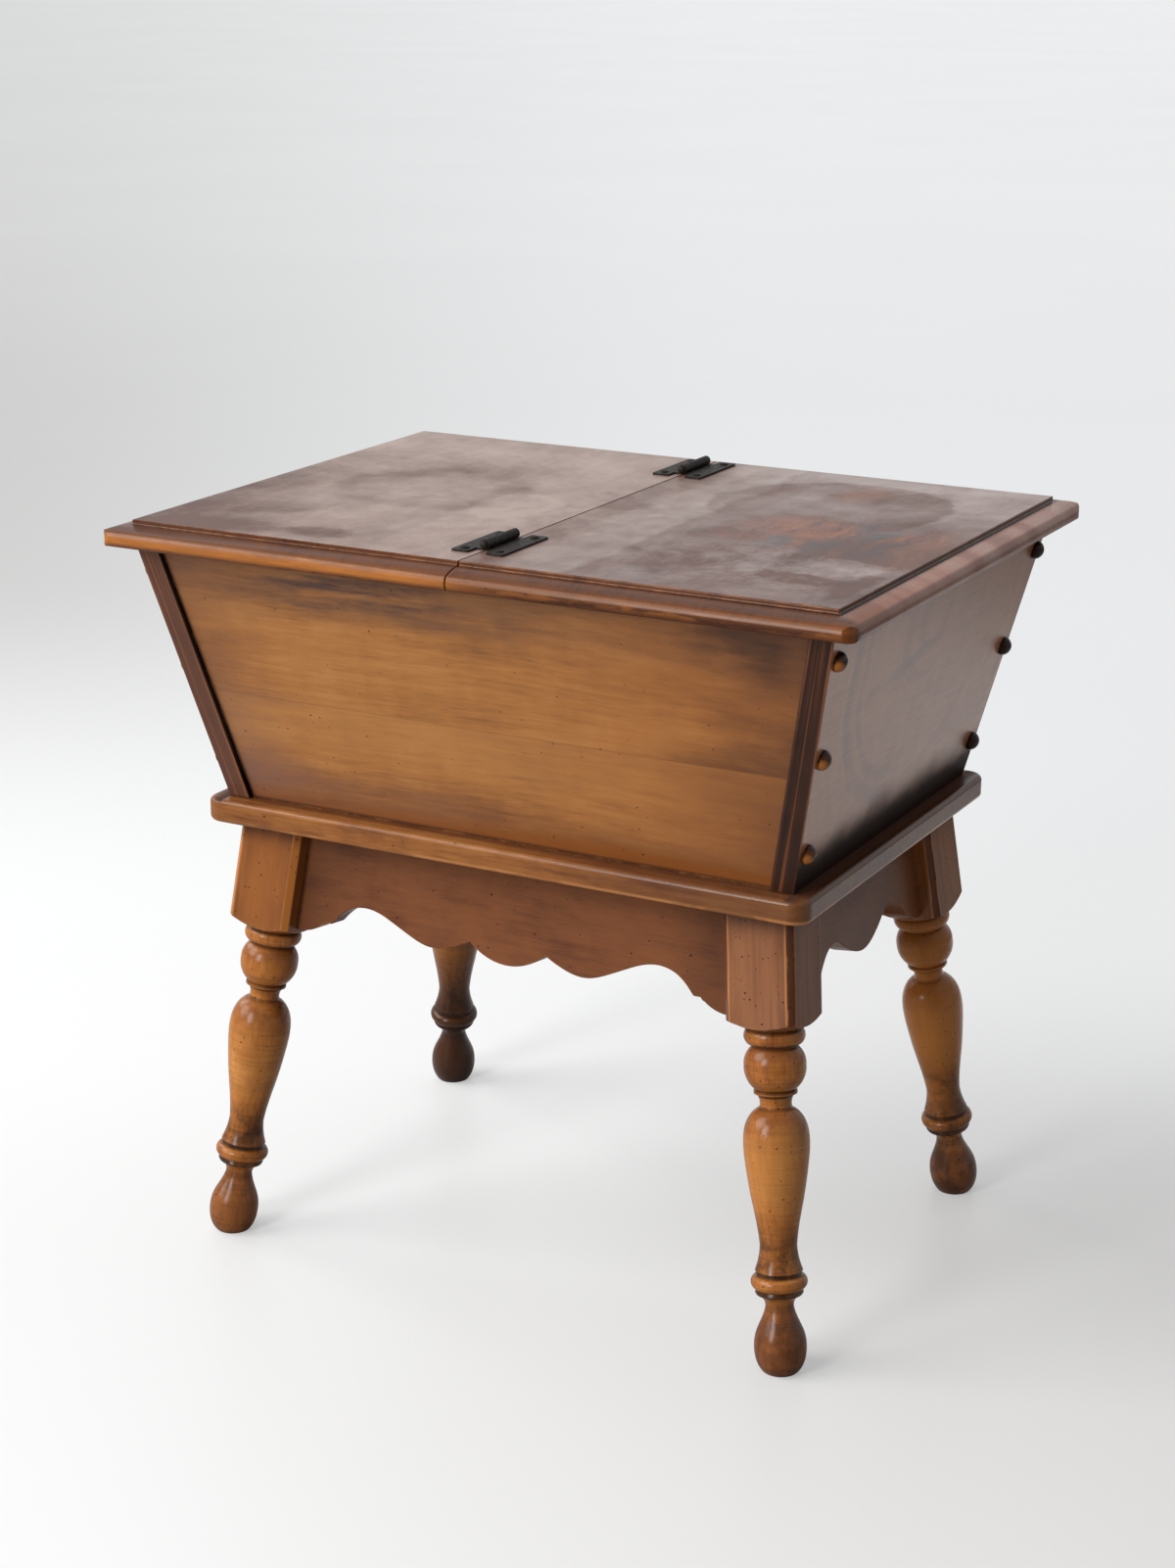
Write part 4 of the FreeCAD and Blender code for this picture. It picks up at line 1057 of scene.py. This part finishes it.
def floor_colour(net, place):
    """The floor's colour by its place, from left to right and from near to far: painted light and shade of
    the room on the floor.
    """
    side = net.dot(place, room_right)
    away = net.dot(place, room_far)
    near = net.mix(net.fade(side, -0.5, 0.8), *floor_near)
    middle = net.mix(net.fade(side, -0.4, 0.6), *floor_middle)
    across = net.fade(net.ratio(side, net.plus(net.most(away, 0.0), 2.4)), -0.26, 0.07)
    far = net.mix(net.fade(away, 3.0, 9.0, 0.0, 0.16), net.mix(across, *floor_far), floor_farthest)
    pale = net.mix(net.fade(away, -0.10, 0.40), near, middle)
    left_share = net.fade(away, 0.75, 2.55)
    right_share = net.fade(away, 0.60, 1.90)
    return net.mix(net.mix_values(net.fade(side, -0.3, 0.5), left_share, right_share), pale, far)


def make_floor():
    """A pale, faintly glossy floor without an edge in view."""
    mesh = bpy.data.meshes.new("floor")
    work = bmesh.new()
    bmesh.ops.create_grid(work, x_segments=24, y_segments=24, size=floor_reach)
    work.to_mesh(mesh)
    work.free()
    floor = new_object("floor", mesh)
    net = Finish("floor_paint")
    place = net.place()
    clouds = net.noise(place, scale=0.9)
    pale = floor_colour(net, place)
    path = net.add("ShaderNodeLightPath").outputs
    beyond = net.dot(place, bright_side)
    dim = net.times(net.fade(beyond, -0.4, 0.9, 0.30, 1.11), net.fade(beyond, 1.25, 2.1, 1.0, 0.24))
    lit = net.scaled(pale, (shadow_share, shadow_share, shadow_share))
    net.colour = net.mix(path["Is Camera Ray"], floor_bounce, lit)
    net.lay(net.most(path["Is Glossy Ray"], path["Is Transmission Ray"]), net.mix(dim, near_black, pale))
    own = net.times(path["Is Camera Ray"], floor_level * (1.0 - shadow_share))
    roughness = net.fade(clouds, 0.3, 0.7, 0.395, 0.425)
    glow = {"Emission_Color": pale, "Emission_Strength": own}
    mesh.materials.append(net.done(roughness, Specular_IOR_Level=0.25, **glow))


def make_world():
    """Soft daylight, weaker from the right, and a pale room for what is seen or mirrored."""
    world = bpy.data.worlds.new("room")
    bpy.context.scene.world = world
    world.use_nodes = True
    net = Net(world.node_tree)
    towards_sky = net.add("ShaderNodeTexCoord").outputs["Generated"]
    right = net.dot(towards_sky, (0.95, -0.20, -0.25))
    light = net.tree.nodes["Background"]
    net.put(light.inputs["Color"], daylight)
    net.put(light.inputs["Strength"], net.fade(right, -0.5, 0.9, 0.62, 0.16))
    path = net.add("ShaderNodeLightPath").outputs
    dimness = net.fade(net.dot(towards_sky, bright_side), 0.5, -0.6, 0.0, 0.70)
    strength = net.rest(net.times(dimness, path["Is Glossy Ray"]))
    seen = net.add("ShaderNodeBackground", {}, {"Color": room_pale, "Strength": strength})
    any_of = net.most(path["Is Camera Ray"], path["Is Glossy Ray"], path["Is Transmission Ray"])
    blend = net.add("ShaderNodeMixShader", {}, {0: any_of, 1: light.outputs[0], 2: seen.outputs[0]})
    net.put(net.tree.nodes["World Output"].inputs["Surface"], blend.outputs[0])


def make_lamp(name, kind, azimuth, elevation, distance, **settings):
    """A lamp aimed at the chest: azimuth 0 is the front, -Y, and grows towards +X."""
    data = bpy.data.lights.new(name, kind)
    for setting, value in settings.items():
        setattr(data, setting, value)
    lamp = new_object(name, data)
    turn, lift = math.radians(azimuth), math.radians(elevation)
    level = math.cos(lift)
    direction = Vector((math.sin(turn) * level, -math.cos(turn) * level, math.sin(lift)))
    lamp.location = Vector((0, 0, 0.4)) + direction * distance
    lamp.rotation_mode = "QUATERNION"
    lamp.rotation_quaternion = direction.to_track_quat("Z", "Y")


def make_lamps():
    """Soft daylight from the left, a tall window left of the camera, and one farther round."""
    make_lamp("daylight", "SUN", -58, 36, 5.0, energy=2.1, angle=math.radians(36), color=sunlight)
    make_lamp("near_window", "AREA", -16, 22, 3.2, shape="RECTANGLE", size=0.9, size_y=1.6, energy=62.0)
    make_lamp("far_window", "AREA", -95, 30, 3.2, shape="RECTANGLE", size=1.2, size_y=1.6, energy=26.0)


def make_camera():
    data = bpy.data.cameras.new("camera")
    data.sensor_fit = "AUTO"
    data.sensor_width = sensor_long_side
    data.lens = focal_pixels * sensor_long_side / picture_height
    camera = new_object("camera", data)
    turn = Matrix.Rotation(camera_yaw, 3, "Z") @ Matrix.Rotation(math.pi / 2 - camera_pitch, 3, "X")
    turn = turn @ Matrix.Rotation(camera_roll, 3, "Z")
    camera.rotation_mode = "QUATERNION"
    camera.rotation_quaternion = turn.to_quaternion()
    camera.location = camera_place
    bpy.context.scene.camera = camera


make_camera()
make_lid()
make_box()
make_stand()
make_fittings()
make_floor()
make_world()
make_lamps()

bpy.context.scene.view_settings.view_transform = "Standard"
